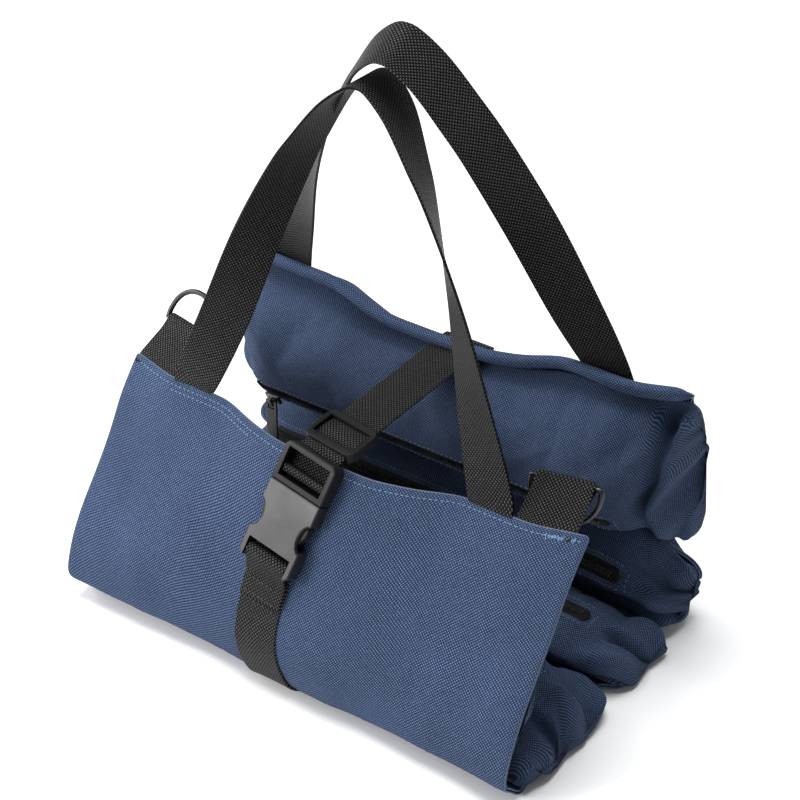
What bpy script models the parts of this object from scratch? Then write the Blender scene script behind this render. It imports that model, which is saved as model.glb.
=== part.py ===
"""Canvas tool roll, curled up for carrying: metres, +X along the roll, -Y the flap side, +Z up."""

from math import atan2, cos, hypot, pi, radians, sin

import bmesh
import bpy
from mathutils import Matrix, Vector

# Roll
ROLL_WIDTH = 0.350
ROLL_DEPTH = 0.240
ROLL_HEIGHT = 0.192
PANEL_THICKNESS = 0.0032
GAP = 0.0003
OUTLINE_STEPS = 2

# Webbing
WEBBING_WIDTH = 0.032
WEBBING_THICKNESS = 0.0018
LAYER_GAP = 0.0004

# Outline of the canvas, as shares of the roll's depth and height: half way along, then at the two ends
FLAP_MIDDLE_SHARES = [
    (-0.242, 0.766), (-0.325, 0.599), (-0.408, 0.391), (-0.475, 0.208), (-0.467, 0.078), (-0.425, 0.016),
]
FLAP_END_SHARES = [
    (-0.150, 0.797), (-0.238, 0.667), (-0.317, 0.510), (-0.417, 0.339), (-0.475, 0.198), (-0.483, 0.078),
]
BOTTOM_MIDDLE_SHARES = [
    (-0.340, 0.0), (-0.167, 0.0), (0.083, 0.0), (0.292, 0.0), (0.400, 0.078), (0.454, 0.250), (0.456, 0.458),
]
BOTTOM_END_SHARES = [
    (-0.375, 0.0), (-0.167, 0.0), (0.083, 0.0), (0.310, 0.0), (0.430, 0.104), (0.4895, 0.271), (0.463, 0.458),
]
REAR_MIDDLE_SHARES = [(0.446, 0.604), (0.412, 0.740), (0.352, 0.849), (0.275, 0.917)]
REAR_END_SHARES = [(0.456, 0.615), (0.450, 0.755), (0.408, 0.905), (0.317, 1.0)]

# Pockets, from the flap to the rear top edge: which stretch of the outline each is sewn to (point numbers
# along it), and the crown of its swollen face as shares of the roll's depth and height. Its zip lies
# between the second and the third of these.
POCKET_SPANS = [(0.45, 4.85), (5.55, 7.70), (7.86, 9.05), (9.30, 11.50), (12.15, 15.85)]
POCKET_CROWN_SHARES = [
    [(-0.275, 0.542), (-0.350, 0.354), (-0.392, 0.240), (-0.412, 0.125)],
    [(-0.355, 0.130), (-0.200, 0.198), (-0.085, 0.192), (-0.037, 0.115)],
    [(-0.010, 0.125), (0.058, 0.196), (0.167, 0.203), (0.258, 0.120)],
    [(0.275, 0.150), (0.242, 0.229), (0.272, 0.307), (0.356, 0.378)],
    [(0.290, 0.462), (0.192, 0.495), (0.152, 0.583), (0.150, 0.719), (0.196, 0.849)],
]
POCKET_OVERHANGS = (-0.003, 0.006, 0.006, 0.004, -0.003)
POCKET_STRAIGHT = 0.126
POCKET_END_SHARE = 0.30
POCKET_STEPS = 3
POCKET_EDGE = 0.0016

# Zips
ZIP_LENGTH = 0.286
ZIP_TAPE_WIDTH = 0.025
ZIP_TAPE_THICKNESS = 0.0009
ZIP_COIL_WIDTH = 0.0056
ZIP_COIL_HEIGHT = 0.0016
SLIDER_LENGTH = 0.0115
SLIDER_WIDTH = 0.0088
SLIDER_HEIGHT = 0.0024
SLIDER_EDGE = 0.0008
SLIDER_SIDES = (1, -1, 1, -1, -1)
SLIDER_INSETS = (0.023, 0.023, 0.036, 0.036, 0.023)
BRIDGE_LENGTH = 0.0080
BRIDGE_WIDTH = 0.0026
BRIDGE_HEIGHT = 0.0036
BRIDGE_HOLE_LENGTH = 0.0045
BRIDGE_HOLE_HEIGHT = 0.0024
PULLER_LENGTH = 0.040
PULLER_WIDTH = 0.0095
PULLER_THICKNESS = 0.0015
PULLER_BAR = 0.0012
PULLER_EYE_LENGTH = 0.0052
PULLER_EYE_WIDTH = 0.0054
PULLER_LEANS = [radians(angle) for angle in (74, -84, -82, -77, 0)]

# Handles: where the middle is, half the distance between the feet, the height above the feet and the lean
FRONT_HANDLE_MIDDLE = -0.004
FRONT_HANDLE_HALF_SPAN = 0.115
FRONT_HANDLE_REACH = 0.2195
FRONT_HANDLE_LEAN = radians(13.5)
REAR_HANDLE_MIDDLE = 0.001
REAR_HANDLE_HALF_SPAN = 0.121
REAR_HANDLE_REACH = 0.2165
REAR_HANDLE_LEAN = radians(-16)
HANDLE_PATH_SHARES = [
    (1.0, 0.0), (0.91, 0.12), (0.82, 0.24), (0.65, 0.48), (0.45, 0.71), (0.33, 0.82), (0.20, 0.925),
    (0.08, 0.985),
]
HANDLE_STEPS = 3
HANDLE_TWIST_SHARE = 0.8
HANDLE_PIVOT_HEIGHT = 0.0013
HANDLE_START = 0.0009

# Tabs and D-rings
TAB_WIDTH = 0.038
TAB_LENGTH = 0.031
LEFT_TAB_LEAN = radians(33)
RIGHT_TAB_LEAN = radians(24)
LEFT_TAB_INSET = 0.0014
RIGHT_TAB_INSET = 0.009
RING_WIRE = 0.0040
RING_INNER_WIDTH = 0.0405
RING_HEIGHT = 0.0250
RING_CLEARANCE = 0.0003
RING_ARC_STEPS = 16
RING_BAR_SHARES = (-0.7, 0.0, 0.7)
RING_SQUARENESS_SHARE = 0.8
LEFT_RING_ANGLE = radians(62)
RIGHT_RING_ANGLE = radians(-106)

# Strap route
STRAP_SLANT = radians(9)
BUCKLE_SIDE_OFFSET = -0.006
BUCKLE_BELOW_HEM = 0.0225
RIDGE_SIDE_OFFSET = 0.016
LOWER_STRAP_END_SIDE_OFFSET = -0.005
LOWER_STRAP_START = 2.0
STRAP_END_STEP = 0.06

# Side-release buckle
BUCKLE_WIDTH = 0.0412
BUCKLE_HEIGHT = 0.0106
BUCKLE_LIFT = 0.0024
BUCKLE_EDGE = 0.0011
SOCKET_LENGTH = 0.0525
SOCKET_HEIGHT = 0.0060
SOCKET_DEPTH = 0.0350
MOUTH_HALF_WIDTH = 0.0150
CHAMBER_HALF_WIDTH = 0.0182
CATCH_DEPTH = 0.0140
SCOOP_LENGTH = 0.0190
SCOOP_DEPTH = 0.0056
SCOOP_STEPS = 8
EAR_LENGTH = 0.0165
EAR_ROUNDING = 0.0030
SLOT_WIDTH = 0.0336
SLOT_LENGTH = 0.0062
BAR_WIDTH = 0.0040
BAR_HEIGHT = 0.0040
FRAME_LENGTH = 0.0260
FRAME_FRONT = 0.0036
FRAME_END = 0.0034
FRAME_BAR_PLACE = 0.0098
FRAME_BAR_RADIUS = 0.0020
PRONG_ROOT = 0.0112
PRONG_HALF_WIDTH = 0.0020
PRONG_ROOT_ROUNDING = 0.0010
PRONG_LENGTH = 0.0300
PRONG_BARB = 0.0188
PRONG_CLEARANCE = 0.0003
PRONG_CATCH_GAP = 0.0005

# Strap adjuster
ADJUSTER_WIDTH = 0.0405
ADJUSTER_LENGTH = 0.0265
ADJUSTER_CORNER = 0.0050
ADJUSTER_CORNER_STEPS = 4
ADJUSTER_WINDOW_LENGTH = 0.0165
ADJUSTER_FRAME_HEIGHT = 0.0024
ADJUSTER_BAR_WIDTH = 0.0034
ADJUSTER_BAR_HEIGHT = 0.0022
ADJUSTER_EDGE = 0.0006
ADJUSTER_FROM_BEND = 0.0178

# Where the sewn loops start and end round their bars, in half turns
UPPER_LOOP_SHARES = (0.34, 1.46)
LOWER_LOOP_SHARES = (0.62, -0.56)
UPPER_LOOP_EXIT_SHARE = 1.9
LOWER_LOOP_EXIT_SHARE = 1.8
LOOP_STEPS = 8
RUN_SHARES = (0.02, 0.3, 0.6, 1.0)
CUT_OVERRUN = 0.0020

CANVAS = ("canvas", (0.075, 0.130, 0.265), 0.92, 0.0)
CANVAS_INNER = ("canvas_inner", (0.055, 0.095, 0.200), 0.92, 0.0)
WEBBING = ("webbing", (0.022, 0.022, 0.024), 0.80, 0.0)
TAPE = ("zip_tape", (0.010, 0.010, 0.012), 0.90, 0.0)
COIL = ("zip_coil", (0.018, 0.018, 0.020), 0.45, 0.0)
PLASTIC = ("buckle_plastic", (0.055, 0.055, 0.058), 0.38, 0.0)
DARK_PLASTIC = ("dark_plastic", (0.022, 0.022, 0.024), 0.55, 0.0)
METAL = ("gunmetal", (0.110, 0.110, 0.115), 0.30, 1.0)

ALONG = Vector((1, 0, 0))
BACK = Vector((0, 1, 0))
UP = Vector((0, 0, 1))


def clear_scene():
    for old in list(bpy.data.objects):
        bpy.data.objects.remove(old, do_unlink=True)


def material_of(look):
    name, colour, roughness, metallic = look
    material = bpy.data.materials.get(name)
    if material is None:
        material = bpy.data.materials.new(name)
        material.use_nodes = True
        shader = material.node_tree.nodes["Principled BSDF"]
        shader.inputs["Base Color"].default_value = (*colour, 1)
        shader.inputs["Roughness"].default_value = roughness
        shader.inputs["Metallic"].default_value = metallic
        material.diffuse_color = (*colour, 1)
    return material


def add_object(name, data, look, parent=None, smooth=True):
    data.materials.append(material_of(look))
    obj = bpy.data.objects.new(name, data)
    bpy.context.scene.collection.objects.link(obj)
    obj.parent = parent
    if smooth and obj.type == "MESH":
        for face in data.polygons:
            face.use_smooth = True
        data.set_sharp_from_angle(angle=radians(40))
    return obj


def mesh_object(name, mesh, look, parent=None, smooth=True):
    bmesh.ops.recalc_face_normals(mesh, faces=mesh.faces)
    data = bpy.data.meshes.new(name)
    mesh.to_mesh(data)
    mesh.free()
    return add_object(name, data, look, parent, smooth)


def skin_rings(name, rings, look, parent=None, smooth=True):
    """A closed solid through rings with equal numbers of points, with a cap on the first and the last."""
    mesh = bmesh.new()
    rows = [[mesh.verts.new(point) for point in ring] for ring in rings]
    for row, following in zip(rows, rows[1:]):
        for index in range(len(row)):
            nearby = (index + 1) % len(row)
            corners = [row[index], row[nearby], following[nearby], following[index]]
            if (corners[0].co - corners[2].co).length > (corners[1].co - corners[3].co).length:
                corners = corners[1:] + corners[:1]
            mesh.faces.new(corners[:3])
            mesh.faces.new(corners[2:] + corners[:1])
    mesh.faces.new(rows[0])
    mesh.faces.new(rows[-1])
    return mesh_object(name, mesh, look, parent, smooth)


def move_origin(obj, point):
    """Puts the object's origin on a point given in its parent's axes, and leaves the shape where it is."""
    shift = Vector(point) - obj.location
    obj.data.transform(Matrix.Translation(-shift))
    obj.location = Vector(point)


def add_empty(name, place, parent=None):
    empty = bpy.data.objects.new(name, None)
    bpy.context.scene.collection.objects.link(empty)
    empty.matrix_world = place
    empty.parent = parent
    return empty


def box(mesh, low, high):
    low = Vector(low)
    high = Vector(high)
    size = high - low
    place = Matrix.Translation((low + high) / 2) @ Matrix.Diagonal((*size, 1))
    bmesh.ops.create_cube(mesh, size=1, matrix=place)


def box_object(name, low, high, look, parent=None):
    mesh = bmesh.new()
    box(mesh, low, high)
    return mesh_object(name, mesh, look, parent, smooth=False)


def rod_object(name, start, end, radius, look, parent=None, sides=16):
    start = Vector(start)
    end = Vector(end)
    turn = (end - start).to_track_quat("Z", "Y").to_matrix().to_4x4()
    mesh = bmesh.new()
    bmesh.ops.create_cone(mesh, cap_ends=True, segments=sides, radius1=radius, radius2=radius,
                          depth=(end - start).length, matrix=Matrix.Translation((start + end) / 2) @ turn)
    return mesh_object(name, mesh, look, parent)


def plate_object(name, outline, low, high, look, parent=None):
    """An outline in X and Y, extruded from one height to another."""
    mesh = bmesh.new()
    face = mesh.faces.new([mesh.verts.new((x, y, low)) for x, y in outline])
    raised = bmesh.ops.extrude_face_region(mesh, geom=[face])["geom"]
    corners = [part for part in raised if isinstance(part, bmesh.types.BMVert)]
    bmesh.ops.translate(mesh, verts=corners, vec=UP * (high - low))
    return mesh_object(name, mesh, look, parent)


def hide_cutter(cutter):
    cutter.hide_render = True
    cutter.display_type = "WIRE"


def combine(obj, other, operation):
    modifier = obj.modifiers.new(other.name, "BOOLEAN")
    modifier.operation = operation
    modifier.solver = "EXACT"
    modifier.object = other
    hide_cutter(other)


def soften(obj, width, segments=2):
    modifier = obj.modifiers.new("Soft edges", "BEVEL")
    modifier.width = width
    modifier.segments = segments
    modifier.limit_method = "ANGLE"
    modifier.angle_limit = radians(35)
    modifier.use_clamp_overlap = True


def smooth_through(points, steps):
    """A Catmull-Rom curve through the points, with the given number of steps from each to the next."""
    points = [Vector(point) for point in points]
    padded = [points[0] * 2 - points[1]] + points + [points[-1] * 2 - points[-2]]
    curve = []
    for before, start, end, after in zip(padded, padded[1:], padded[2:], padded[3:]):
        for step in range(steps):
            t = step / steps
            curve.append(
                (start * 2 + (end - before) * t + (before * 2 - start * 5 + end * 4 - after) * t * t
                 + (start * 3 - before - end * 3 + after) * t * t * t) / 2
            )
    curve.append(points[-1])
    return curve


# Columns along the roll, with one at each side of the handles' feet
HALF_WIDTH = ROLL_WIDTH / 2
FOOT_INNER = FRONT_HANDLE_HALF_SPAN - WEBBING_WIDTH * 0.75
FOOT_OUTER = REAR_HANDLE_HALF_SPAN + WEBBING_WIDTH * 0.6
SAG_SHARES = [(0.0, 0.0), (0.20, 0.0), (0.36, 0.25)]
FOOT_SAG_SHARE = 0.65
END_COLUMN_SHARES = (0.5, 0.8, 1.0)
UNDER_STRAP_HALF = HALF_WIDTH * SAG_SHARES[1][0]
UNDER_STRAP_CLEAR = HALF_WIDTH * SAG_SHARES[2][0]


def column_places():
    right = [HALF_WIDTH * place for place, _ in SAG_SHARES] + [FOOT_INNER, POCKET_STRAIGHT, FOOT_OUTER]
    right += [FOOT_OUTER + (HALF_WIDTH - FOOT_OUTER) * share for share in END_COLUMN_SHARES]
    return sorted({-x for x in right} | set(right))


def end_share(x):
    """0 half way along the roll and 1 at its ends. It stays level over a handle's foot."""
    places = [(HALF_WIDTH * place, share) for place, share in SAG_SHARES]
    places += [(FOOT_INNER, FOOT_SAG_SHARE), (FOOT_OUTER, FOOT_SAG_SHARE), (HALF_WIDTH, 1.0)]
    x = min(abs(x), HALF_WIDTH)
    for (low, low_share), (high, high_share) in zip(places, places[1:]):
        if x <= high:
            return low_share + (high_share - low_share) * (x - low) / (high - low)
    return 1.0


def lowest(x):
    """How low the canvas hangs: on the ground, or on the strap that passes under it."""
    share = (UNDER_STRAP_CLEAR - abs(x)) / (UNDER_STRAP_CLEAR - UNDER_STRAP_HALF)
    return (WEBBING_THICKNESS + GAP * 2) * min(max(share, 0), 1)


def outline_points(x):
    """The outside of the canvas at one column, from the flap's hem to the rear top edge, finely stepped."""
    middle = FLAP_MIDDLE_SHARES + BOTTOM_MIDDLE_SHARES + REAR_MIDDLE_SHARES
    ends = FLAP_END_SHARES + BOTTOM_END_SHARES + REAR_END_SHARES
    share = end_share(x)
    size = Vector((ROLL_DEPTH, ROLL_HEIGHT))
    points = [Vector(a).lerp(Vector(b), share) * size for a, b in zip(middle, ends)]
    curve = smooth_through(points, OUTLINE_STEPS)
    return [Vector((x, point.x, max(point.y, lowest(x)))) for point in curve]


def outline_at(x, number):
    """The point and the inward direction at a point number along the outline, which may lie between two."""
    curve = outline_points(x)
    last = len(curve) - 1
    place = number * OUTLINE_STEPS
    index = min(int(place), last - 1)
    ways = []
    for corner in (index, index + 1):
        along = (curve[min(corner + 1, last)] - curve[max(corner - 1, 0)]).normalized()
        ways.append(Vector((0, -along.z, along.y)))
    share = place - index
    return curve[index].lerp(curve[index + 1], share), ways[0].lerp(ways[1], share).normalized()


FLAP_LAST = len(FLAP_MIDDLE_SHARES) - 1
FOLD_NUMBER = len(FLAP_MIDDLE_SHARES) + len(BOTTOM_MIDDLE_SHARES) - 1
RIDGE_NUMBER = FOLD_NUMBER + len(REAR_MIDDLE_SHARES)
SEAM_TRIM = 0.5 * GAP
NEAR_STEP = 0.02
NEAR_END = 0.001


def numbers_between(first, last):
    """Point numbers along the outline from one to another, with every step of its curve in between."""
    steps = range(int(first * OUTLINE_STEPS), int(last * OUTLINE_STEPS) + 2)
    inner = [step / OUTLINE_STEPS for step in steps]
    return [first] + [number for number in inner if first + NEAR_STEP < number < last - NEAR_STEP] + [last]


def panel(name, first, last, trim_start, trim_end):
    """A stretch of the canvas between two point numbers, as a solid sheet."""
    rings = []
    for x in column_places():
        outer = []
        inner = []
        for number in numbers_between(first, last):
            point, inward = outline_at(x, number)
            along = Vector((0, inward.z, -inward.y))
            if number == first and trim_start:
                point = point + along * SEAM_TRIM
            if number == last and trim_end:
                point = point - along * SEAM_TRIM
            outer.append(point)
            inner.append(point + inward * PANEL_THICKNESS)
        rings.append(outer + inner[::-1])
    return skin_rings(name, rings, CANVAS)


def build_panels():
    panel("front_flap", 0, FLAP_LAST, False, True)
    panel("bottom_panel", FLAP_LAST, FOLD_NUMBER, True, True)
    panel("rear_panel", FOLD_NUMBER, RIDGE_NUMBER, True, False)


def pocket_end(number):
    return HALF_WIDTH + POCKET_OVERHANGS[number]


def fullness(number, x):
    """How far a pocket is blown out: fully over its middle, and drawn in towards its ends."""
    end = pocket_end(number)
    inside = min(max((end - abs(x)) / (end - POCKET_STRAIGHT), 0), 1)
    return POCKET_END_SHARE + (1 - POCKET_END_SHARE) * sin(pi / 2 * inside)


def pocket_back(number, x):
    """The sewn-on side of a pocket at one column, just clear of the canvas."""
    line = []
    for place in numbers_between(*POCKET_SPANS[number]):
        point, inward = outline_at(x, place)
        line.append(point + inward * (PANEL_THICKNESS + GAP))
    return line


def pocket_face(number, x):
    """The swollen side of a pocket at one column: its empty shape, blown out towards its crown."""
    first, last = POCKET_SPANS[number]
    lift = PANEL_THICKNESS + GAP + POCKET_EDGE
    steps = POCKET_STEPS * (len(POCKET_CROWN_SHARES[number]) + 1)
    empty = []
    for step in range(steps + 1):
        point, inward = outline_at(x, first + (last - first) * step / steps)
        empty.append(point + inward * lift)
    crown = [Vector((x, y * ROLL_DEPTH, z * ROLL_HEIGHT)) for y, z in POCKET_CROWN_SHARES[number]]
    full = smooth_through([empty[0]] + crown + [empty[-1]], POCKET_STEPS)
    return [low.lerp(high, fullness(number, x)) for low, high in zip(empty, full)]


def pocket_columns(number):
    end = pocket_end(number)
    return [-end] + [x for x in column_places() if abs(x) < end - NEAR_END] + [end]


def build_pockets():
    for number in range(len(POCKET_SPANS)):
        rings = [pocket_face(number, x) + pocket_back(number, x)[::-1] for x in pocket_columns(number)]
        skin_rings("pocket_" + str(number + 1), rings, CANVAS_INNER)


def face_places(number, half_width):
    """Where a band along the zip crosses a pocket's face: places along its line of points, at full swell."""
    face = pocket_face(number, 0)
    middle = POCKET_STEPS * 2 + POCKET_STEPS // 2
    ends = []
    for way in (-1, 1):
        place = middle + 0.5
        left = half_width
        index = middle
        room = (face[index + 1] - face[index]).length / 2
        while left > room:
            left -= room
            index += way
            place = index + (0 if way > 0 else 1)
            room = (face[index + 1] - face[index]).length
        ends.append(place + way * left / (face[index + 1] - face[index]).length)
    low, high = ends
    inner = [index for index in range(len(face)) if low < index < high]
    return [low] + inner + [middle + 0.5] * (not inner) + [high]


def face_point(number, x, place):
    """The point and the outward direction at a place along a pocket's face."""
    face = pocket_face(number, x)
    index = min(int(place), len(face) - 2)
    point = face[index].lerp(face[index + 1], place - index)
    before = face[index - 1] if place == index else face[index]
    along = (face[index + 1] - before).normalized()
    return point, Vector((0, -along.z, along.y))


def zip_columns(number):
    half = ZIP_LENGTH / 2
    right = [x for x in pocket_columns(number) if 0 <= x < half] + [half]
    return sorted({-x for x in right} | set(right))


def strip_on_face(name, number, width, lift, thickness, look):
    """A thin band lying along a pocket's face, with the given lift off it."""
    rings = []
    for x in zip_columns(number):
        low = []
        high = []
        for place in face_places(number, width / 2):
            point, outward = face_point(number, x, place)
            low.append(point + outward * lift)
            high.append(point + outward * (lift + thickness))
        rings.append(high + low[::-1])
    return skin_rings(name, rings, look)


def slider_axes(number, x):
    """The slider's frame: its X along the zip, its Z out of the pocket, its base just above the coil."""
    point, outward = face_point(number, x, POCKET_STEPS * 2 + POCKET_STEPS / 2)
    base = point + outward * (GAP * 3 + ZIP_TAPE_THICKNESS + ZIP_COIL_HEIGHT)
    across = outward.cross(ALONG)
    place = Matrix((ALONG, across, outward)).transposed().to_4x4()
    place.translation = base
    return place


def build_slider(number, side):
    x = side * (ZIP_LENGTH / 2 - SLIDER_INSETS[number])
    place = slider_axes(number, x)
    label = str(number + 1)
    seat = add_empty("slider_seat_" + label, place)
    half = Vector((SLIDER_LENGTH, SLIDER_WIDTH)) / 2
    slider = box_object("zip_slider_" + label, (-half.x, -half.y, 0), (half.x, half.y, SLIDER_HEIGHT),
                        METAL, seat)
    bridge = box_object("slider_bridge_" + label,
                        (-BRIDGE_WIDTH / 2, -BRIDGE_LENGTH / 2, SLIDER_HEIGHT / 2),
                        (BRIDGE_WIDTH / 2, BRIDGE_LENGTH / 2, SLIDER_HEIGHT + BRIDGE_HEIGHT), METAL, seat)
    hole = box_object("slider_hole_" + label,
                      (-BRIDGE_WIDTH, -BRIDGE_HOLE_LENGTH / 2, SLIDER_HEIGHT),
                      (BRIDGE_WIDTH, BRIDGE_HOLE_LENGTH / 2, SLIDER_HEIGHT + BRIDGE_HOLE_HEIGHT + GAP),
                      METAL, seat)
    soften(slider, SLIDER_EDGE)
    combine(slider, bridge, "UNION")
    combine(slider, hole, "DIFFERENCE")
    axis = add_empty("puller_axis_" + label, Matrix.Identity(4), seat)
    axis.location = (0, 0, SLIDER_HEIGHT + GAP + BRIDGE_HOLE_HEIGHT / 2)
    lean = PULLER_LEANS[number]
    hanging = place.to_3x3().inverted() @ Vector((0, sin(lean), -cos(lean)))
    axis.rotation_euler = (atan2(-hanging.z, -hanging.y), 0, 0)
    build_puller(label, axis)


def build_puller(label, axis):
    """A flat tongue. It points along -Y of its axis, and a slim bar at its eye runs under the bridge."""
    half = PULLER_WIDTH / 2
    low = -PULLER_THICKNESS / 2
    high = PULLER_THICKNESS / 2
    eye_start = -PULLER_BAR / 2
    eye_end = -PULLER_BAR / 2 - PULLER_EYE_LENGTH
    puller = box_object("zip_puller_" + label, (-half, -PULLER_LENGTH, low), (half, PULLER_BAR / 2, high),
                        DARK_PLASTIC, axis)
    soften(puller, PULLER_BAR / 3)
    eye = box_object("puller_eye_" + label, (-PULLER_EYE_WIDTH / 2, eye_end, low - CUT_OVERRUN),
                     (PULLER_EYE_WIDTH / 2, eye_start, high + CUT_OVERRUN), DARK_PLASTIC, axis)
    combine(puller, eye, "DIFFERENCE")
    reliefs = {"top": (PULLER_BAR / 2, high + CUT_OVERRUN), "under": (low - CUT_OVERRUN, -PULLER_BAR / 2)}
    for side, (bottom, top) in reliefs.items():
        relief = box_object("puller_relief_" + side + "_" + label, (-PULLER_EYE_WIDTH / 2, eye_end / 2, bottom),
                            (PULLER_EYE_WIDTH / 2, PULLER_BAR, top), DARK_PLASTIC, axis)
        combine(puller, relief, "DIFFERENCE")


def build_zips():
    for number in range(len(POCKET_SPANS)):
        label = str(number + 1)
        strip_on_face("zip_tape_" + label, number, ZIP_TAPE_WIDTH, GAP, ZIP_TAPE_THICKNESS, TAPE)
        strip_on_face("zip_coil_" + label, number, ZIP_COIL_WIDTH, GAP * 2 + ZIP_TAPE_THICKNESS,
                      ZIP_COIL_HEIGHT, COIL)
        build_slider(number, SLIDER_SIDES[number])


def ribbon(name, stations, look, parent=None, level=()):
    """Webbing along stations of (middle of the section, way across it), which is kept exactly where level."""
    rings = []
    last = len(stations) - 1
    for index, (centre, across) in enumerate(stations):
        along = stations[min(index + 1, last)][0] - stations[max(index - 1, 0)][0]
        if index not in level:
            across = (across - along * across.dot(along) / along.length_squared).normalized()
        normal = across.cross(along).normalized()
        side = across * (WEBBING_WIDTH / 2)
        lift = normal * (WEBBING_THICKNESS / 2)
        rings.append([centre - side - lift, centre + side - lift, centre + side + lift, centre - side + lift])
    return skin_rings(name, rings, look, parent)


def handle_stations(half_span, reach, lean, turn):
    """Middle line and width direction of a handle about its pivot line: it twists a quarter turn to its top."""
    half = [Vector((share * half_span, 0, rise * reach)) for share, rise in HANDLE_PATH_SHARES]
    route = half + [Vector((0, 0, reach))] + [Vector((-point.x, 0, point.z)) for point in half[::-1]]
    route[0] -= UP * HANDLE_START
    route[-1] -= UP * HANDLE_START
    tilt = Matrix.Rotation(-lean, 3, "X")
    stations = []
    for point in smooth_through(route, HANDLE_STEPS):
        twist = pi / 2 * (max(point.z, 0) / reach) ** HANDLE_TWIST_SHARE
        side = 1 if point.x >= 0 else -1
        across = Vector((-side * cos(twist), turn * sin(twist), 0))
        stations.append((tilt @ point, tilt @ across))
    return stations


def build_handle(name, number, middle, half_span, reach, lean, turn):
    point, inward = outline_at(half_span, number)
    other = point + inward * PANEL_THICKNESS
    top = max(point.z, other.z) + HANDLE_PIVOT_HEIGHT
    stations = handle_stations(half_span, reach, lean, turn)
    handle = ribbon(name, stations, WEBBING, level=(0, len(stations) - 1))
    handle.location = (middle, (point.y + other.y) / 2, top)


def build_handles():
    build_handle("front_handle", 0, FRONT_HANDLE_MIDDLE, FRONT_HANDLE_HALF_SPAN, FRONT_HANDLE_REACH,
                 FRONT_HANDLE_LEAN, 1)
    build_handle("rear_handle", RIDGE_NUMBER, REAR_HANDLE_MIDDLE, REAR_HANDLE_HALF_SPAN, REAR_HANDLE_REACH,
                 REAR_HANDLE_LEAN, -1)


def build_tab(name, side, inset, lean):
    """Webbing folded round a ring's bar. Its frame has X along the hem under it and Y out to the bar."""
    corners = []
    for x in (HALF_WIDTH - inset - TAB_WIDTH, HALF_WIDTH - inset):
        point, inward = outline_at(x, 0)
        corner = point + inward * PANEL_THICKNESS
        corners.append(Vector((side * corner.x, corner.y, corner.z)))
    across = (corners[1] - corners[0]).normalized() * side
    away = BACK * cos(lean) + UP * sin(lean)
    away = (away - across * across.dot(away)).normalized()
    place = Matrix((across, away, across.cross(away))).transposed().to_4x4()
    place.translation = (corners[0] + corners[1]) / 2
    seat = add_empty(name + "_seat", place)
    layers = WEBBING_THICKNESS * 2 + LAYER_GAP
    half = TAB_WIDTH / 2
    eye = RING_WIRE / 2 + RING_CLEARANCE
    tab = box_object(name, (-half, GAP, -layers / 2), (half, TAB_LENGTH, layers / 2), WEBBING, seat)
    near = (-half, TAB_LENGTH, 0)
    far = (half, TAB_LENGTH, 0)
    fold = rod_object(name + "_fold", near, far, eye + WEBBING_THICKNESS, WEBBING, seat)
    bore = rod_object(name + "_bore", (-half - CUT_OVERRUN, TAB_LENGTH, 0), (half + CUT_OVERRUN, TAB_LENGTH, 0),
                      eye, WEBBING, seat)
    combine(tab, fold, "UNION")
    combine(tab, bore, "DIFFERENCE")
    return seat


def build_ring(name, seat, lean, angle):
    """A D-ring: a straight bar through the tab's fold, and a half-round bow. It turns on its bar."""
    axis = add_empty(name + "_axis", Matrix.Identity(4), seat)
    axis.location = (0, TAB_LENGTH, 0)
    axis.rotation_euler = (angle - lean, 0, 0)
    half = (RING_INNER_WIDTH + RING_WIRE) / 2
    route = [(half * share, 0, 0) for share in RING_BAR_SHARES]
    for step in range(RING_ARC_STEPS + 1):
        turn = pi * step / RING_ARC_STEPS
        bulge = sin(turn) ** RING_SQUARENESS_SHARE
        route.append((half * cos(turn), RING_HEIGHT * bulge, 0))
    curve = bpy.data.curves.new(name, "CURVE")
    curve.dimensions = "3D"
    curve.bevel_depth = RING_WIRE / 2
    curve.bevel_resolution = 2
    curve.use_fill_caps = True
    line = curve.splines.new("POLY")
    line.points.add(len(route) - 1)
    for point, place in zip(line.points, route):
        point.co = (*place, 1)
    line.use_cyclic_u = True
    return add_object(name, curve, METAL, axis)


def build_tabs():
    left = build_tab("left_tab", -1, LEFT_TAB_INSET, LEFT_TAB_LEAN)
    right = build_tab("right_tab", 1, RIGHT_TAB_INSET, RIGHT_TAB_LEAN)
    build_ring("left_d_ring", left, LEFT_TAB_LEAN, LEFT_RING_ANGLE)
    build_ring("right_d_ring", right, RIGHT_TAB_LEAN, RIGHT_RING_ANGLE)


def buckle_axes():
    """The buckle's frame on the flap: X across it, Y up the flap and out of the socket, Z off the canvas."""
    hem, _ = outline_at(BUCKLE_SIDE_OFFSET, 0)
    lower, _ = outline_at(BUCKLE_SIDE_OFFSET, 2)
    up_flap = (hem - lower).normalized()
    normal = ALONG.cross(up_flap)
    slanted = up_flap * cos(STRAP_SLANT) + ALONG * sin(STRAP_SLANT)
    across = slanted.cross(normal)
    place = Matrix((across, slanted, normal)).transposed().to_4x4()
    place.translation = hem - up_flap * BUCKLE_BELOW_HEM
    return place


BUCKLE_LOW = BUCKLE_LIFT
BUCKLE_HIGH = BUCKLE_LIFT + BUCKLE_HEIGHT
BUCKLE_MIDDLE = BUCKLE_LIFT + BUCKLE_HEIGHT / 2
EAR_START = SOCKET_LENGTH - EAR_LENGTH


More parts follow.
